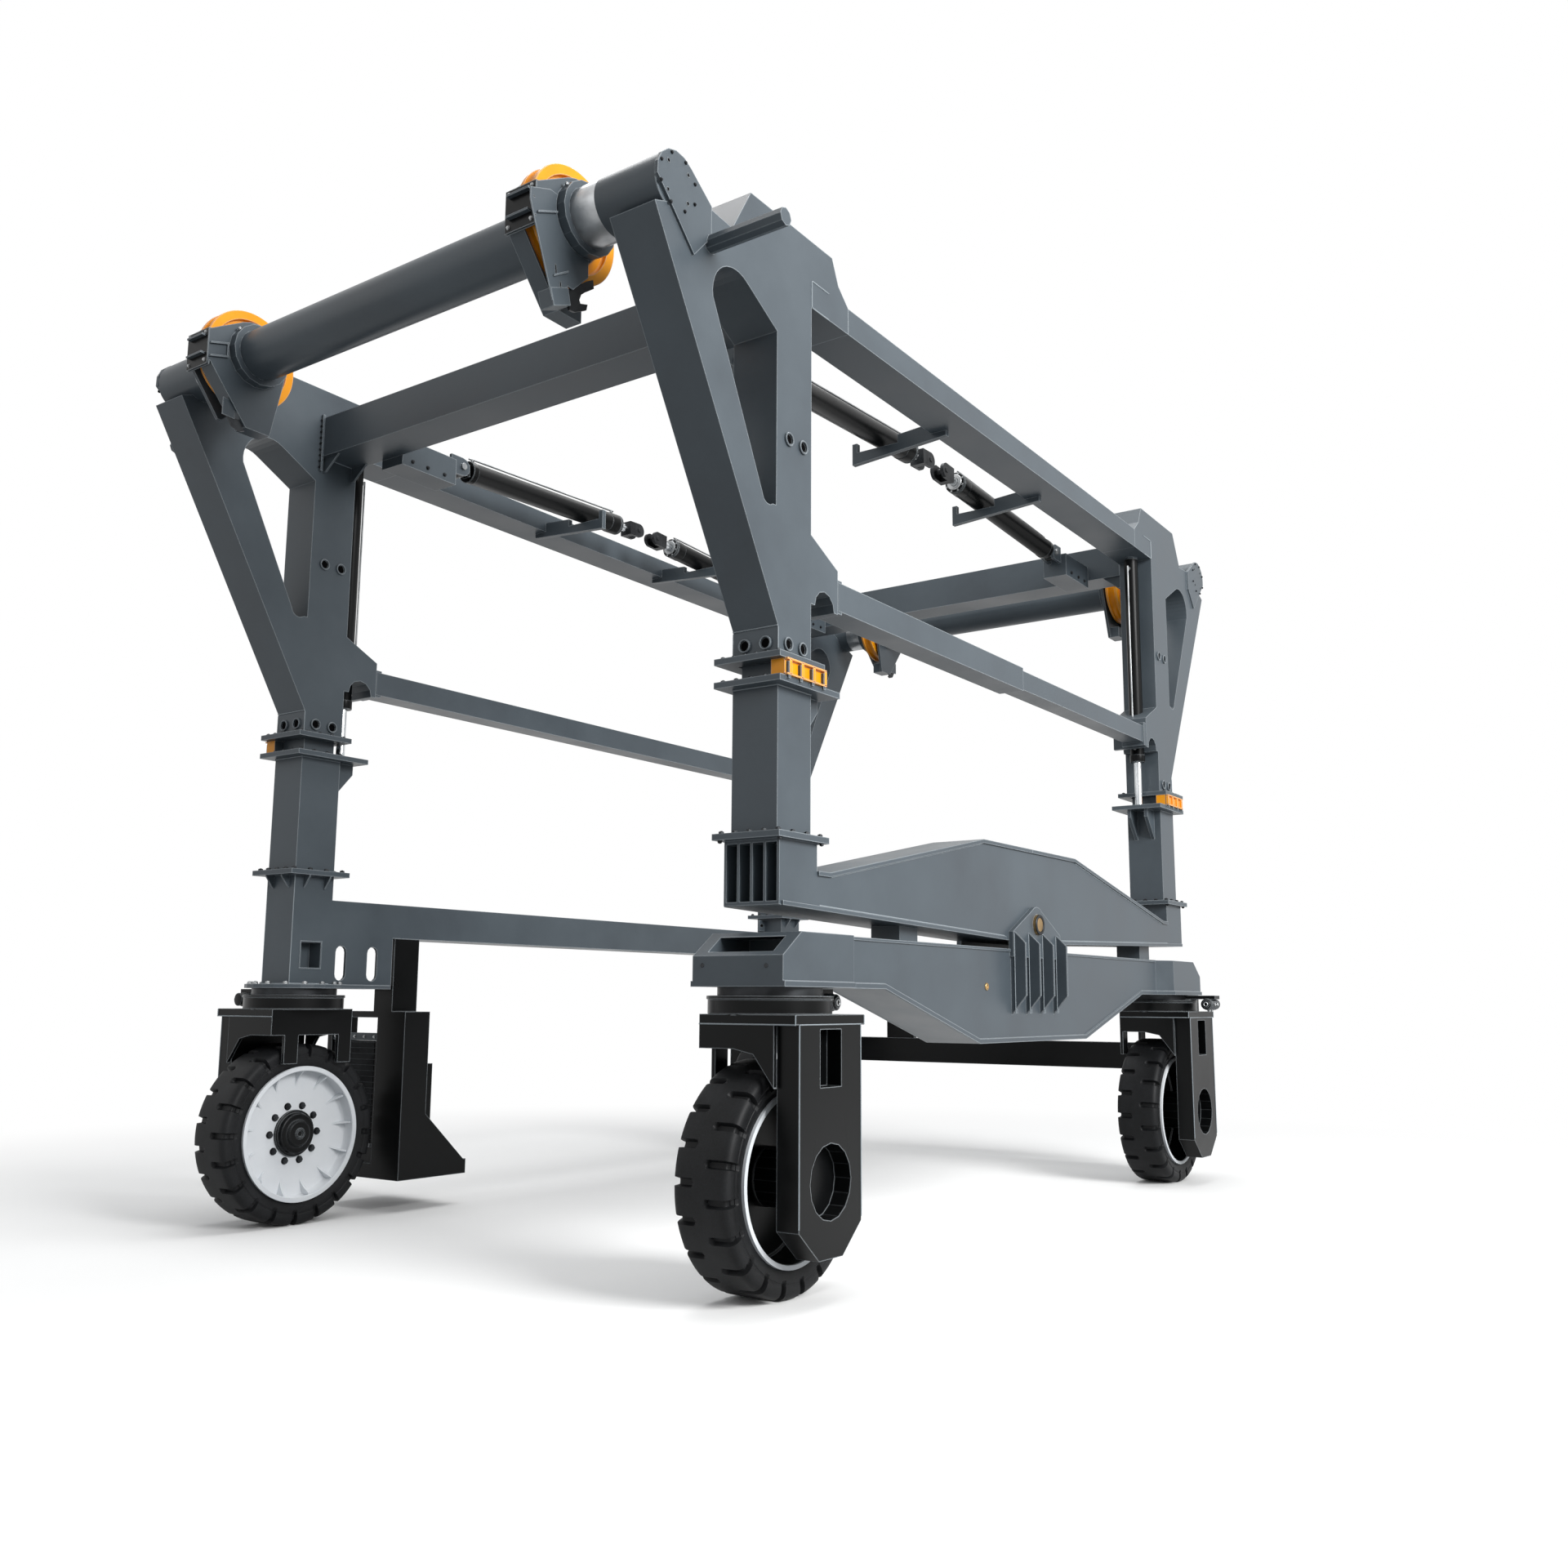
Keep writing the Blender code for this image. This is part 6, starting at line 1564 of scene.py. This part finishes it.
@dataclass
class PackTrim:
    """Power pack trim: cooler fins and tubes, header bars and their bolts."""

    left: float = -2.515
    right: float = -2.055
    front: float = -2.190
    low: float = 0.470
    top: float = 1.200
    pitch: float = 0.008

    def build(self) -> None:
        """Dress the cooler."""
        left, right, y = self.left, self.right, self.front
        fins = [plate((x, x + 0.0022), (y - 0.005, y + 0.001), (self.low, self.top))
                for x in (left + i * self.pitch for i in range(int((right - left) / self.pitch)))]
        # The tube lines are near-black: painted shade between the fins.
        tubes = [plate((left, right), (y - 0.0035, y + 0.001), (z, z + 0.004))
                 for z in (self.low + 0.02 + i * 0.041 for i in range(18))]
        bars = [plate((left - 0.012, right + 0.030), (y - 0.010, y + 0.002), z)
                for z in ((1.203, 1.258), (0.440, 0.466))]
        bolts = [bolt((x, y - 0.010, z), NEG_Y, 0.016)
                 for z in (1.230, 0.453) for x in (-2.50, -2.39, -2.28, -2.17, -2.06)]
        for name, parts, finish, bevel in (
            ("cooler_fins_front", fins, Finish.BLACKENED, 0.0),
            ("cooler_tubes_front", tubes, Finish.HOLE_PAINTED_SHADE, 0.0),
            ("cooler_header_bars", bars, Finish.FRAME, 0.002),
            ("cooler_bolts", bolts, Finish.ZINC, 0.0),
        ):
            piece(name, merged(parts), finish, Body.BASE.value, bevel)


# Stage


@dataclass
class Stage:
    """Pale floor, white surround, soft lights and the camera at the photo's angle."""

    floor_half: float = 60.0
    fade: Span = (4.6, 10.5)
    aim: Point = (0.0, 0.0, 2.6)
    focal_mm: float = 32.0
    azimuth: float = 34.62
    elevation: float = -8.89
    roll: float = 0.29
    place: Point = (6.336, -9.071, 1.498)

    def build(self) -> None:
        """Set the world, floor, lamps and camera."""
        self.world()
        self.floor()
        self.lamps()
        self.camera()

    def seen(self, tree: Tree) -> Socket:
        """Give 1 for a ray that shows the background: from the camera, off a gloss or through glass.

        Args:
            tree: the node tree.

        Returns:
            The socket with the value.
        """
        path = add(tree, "LightPath").outputs
        straight = add(tree, "Math", {0: path["Is Camera Ray"], 1: path["Is Transmission Ray"]},
                       operation="MAXIMUM").outputs[0]
        return add(tree, "Math", {0: straight, 1: path["Is Glossy Ray"]}, operation="MAXIMUM").outputs[0]

    def world(self) -> None:
        """A white surround for camera, glossy and transmission rays, and a soft sky for the light."""
        world = bpy.data.worlds.new("studio")
        bpy.context.scene.world = world
        world.use_nodes = True
        tree = world.node_tree
        tree.nodes.clear()
        soft = add(tree, "Background", {"Color": linear("#f3f5f8"), "Strength": 0.50}).outputs[0]
        white = add(tree, "Background", {"Color": WHITE_LIGHT, "Strength": 1.0}).outputs[0]
        surface = add(tree, "MixShader", {0: self.seen(tree), 1: soft, 2: white}).outputs[0]
        add(tree, "OutputWorld", {"Surface": surface})

    def floor(self) -> None:
        """A pale matt floor that keeps the machine's shadow and fades to white."""
        mesh = bpy.data.meshes.new("studio_floor")
        h = self.floor_half
        mesh.from_pydata([(-h, -h, 0), (h, -h, 0), (h, h, 0), (-h, h, 0)], [], [(0, 1, 2, 3)])
        floor = bpy.data.objects.new("studio_floor", mesh)
        bpy.context.scene.collection.objects.link(floor)
        material, tree, shader, where = new_material("studio_floor_paint")
        seen = self.seen(tree)
        tone = add(tree, "Mix", {"Factor": seen, "A": linear("#86898b"), "B": linear("#f2f2f1")},
                   data_type="RGBA").outputs["Result"]
        dress(tree, shader, {"Base Color": tone, "Roughness": 0.75})
        distance = add(tree, "VectorMath", {0: where}, operation="LENGTH").outputs["Value"]
        far = add(tree, "MapRange", {"Value": distance, "From Min": self.fade[0], "From Max": self.fade[1]},
                  interpolation_type="SMOOTHSTEP").outputs["Result"]
        white = add(tree, "Emission", {"Color": WHITE_LIGHT, "Strength": 1.0}).outputs[0]
        share = add(tree, "Math", {0: far, 1: seen}, operation="MULTIPLY").outputs[0]
        surface = add(tree, "MixShader", {0: share, 1: shader.outputs[0], 2: white}).outputs[0]
        output = next(n for n in tree.nodes if n.type == "OUTPUT_MATERIAL")
        tree.links.new(surface, output.inputs["Surface"])
        mesh.materials.append(material)

    def lamps(self) -> None:
        """Soft boxes: a key high on the right, a weak fill from the front left and a broad top light."""
        for name, place, size, power in (
            ("key_right", (15.0, -3.0, 8.5), 8.0, 3300.0),
            ("fill_front", (-7.0, -13.0, 8.0), 10.0, 140.0),
            ("top_soft", (0.0, 1.0, 14.0), 12.0, 1100.0),
        ):
            lamp = bpy.data.lights.new(name, "AREA")
            lamp.shape = "DISK"
            lamp.size = size
            lamp.energy = power
            holder = bpy.data.objects.new(name, lamp)
            bpy.context.scene.collection.objects.link(holder)
            holder.location = place
            aim = Vector(self.aim) - Vector(place)
            holder.rotation_euler = aim.to_track_quat("-Z", "Y").to_euler()

    def camera(self) -> None:
        """The camera fitted to the photo's edges."""
        a, e, roll = (math.radians(v) for v in (self.azimuth, self.elevation, self.roll))
        back = Vector((math.sin(a) * math.cos(e), -math.cos(a) * math.cos(e), math.sin(e)))
        level = Vector((math.cos(a), math.sin(a), 0.0))
        right = level * math.cos(roll) + back.cross(level) * math.sin(roll)
        matrix = Matrix((right, back.cross(right), back)).transposed().to_4x4()
        matrix.translation = Vector(self.place)
        data = bpy.data.cameras.new("photo_camera")
        data.lens = self.focal_mm
        data.sensor_width = 36.0
        data.clip_end = 300.0
        camera = bpy.data.objects.new("photo_camera", data)
        bpy.context.scene.collection.objects.link(camera)
        camera.matrix_world = matrix
        bpy.context.scene.camera = camera


def main() -> None:
    """Build the stage and dress every sub-assembly in order."""
    logging.basicConfig(level=logging.INFO, format="%(name)s: %(message)s")
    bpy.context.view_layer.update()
    bpy.context.scene.view_settings.view_transform = "Standard"
    Stage().build()
    CadDress().build()
    for corner in CORNERS:
        for part in (Tyre(), Rim(), ForkTrim(), SlewTrim(), ColumnTrim(), LegTrim(), Sheave(),
                     CarriageTrim(), Hoist()):
            part.build(corner)
        if corner.across < 0:
            LeftBaseTrim().build(corner)
    for name, along in (("front", -1), ("rear", 1)):
        CrossTube().build(name, along)
        Crossbeams().build(name, along)
    for name, across in (("right", 1), ("left", -1)):
        SideBeams().build(name, across)
    RockerTrim().build()
    PivotTrim().build()
    PackTrim().build()


if __name__ == "__main__":
    main()
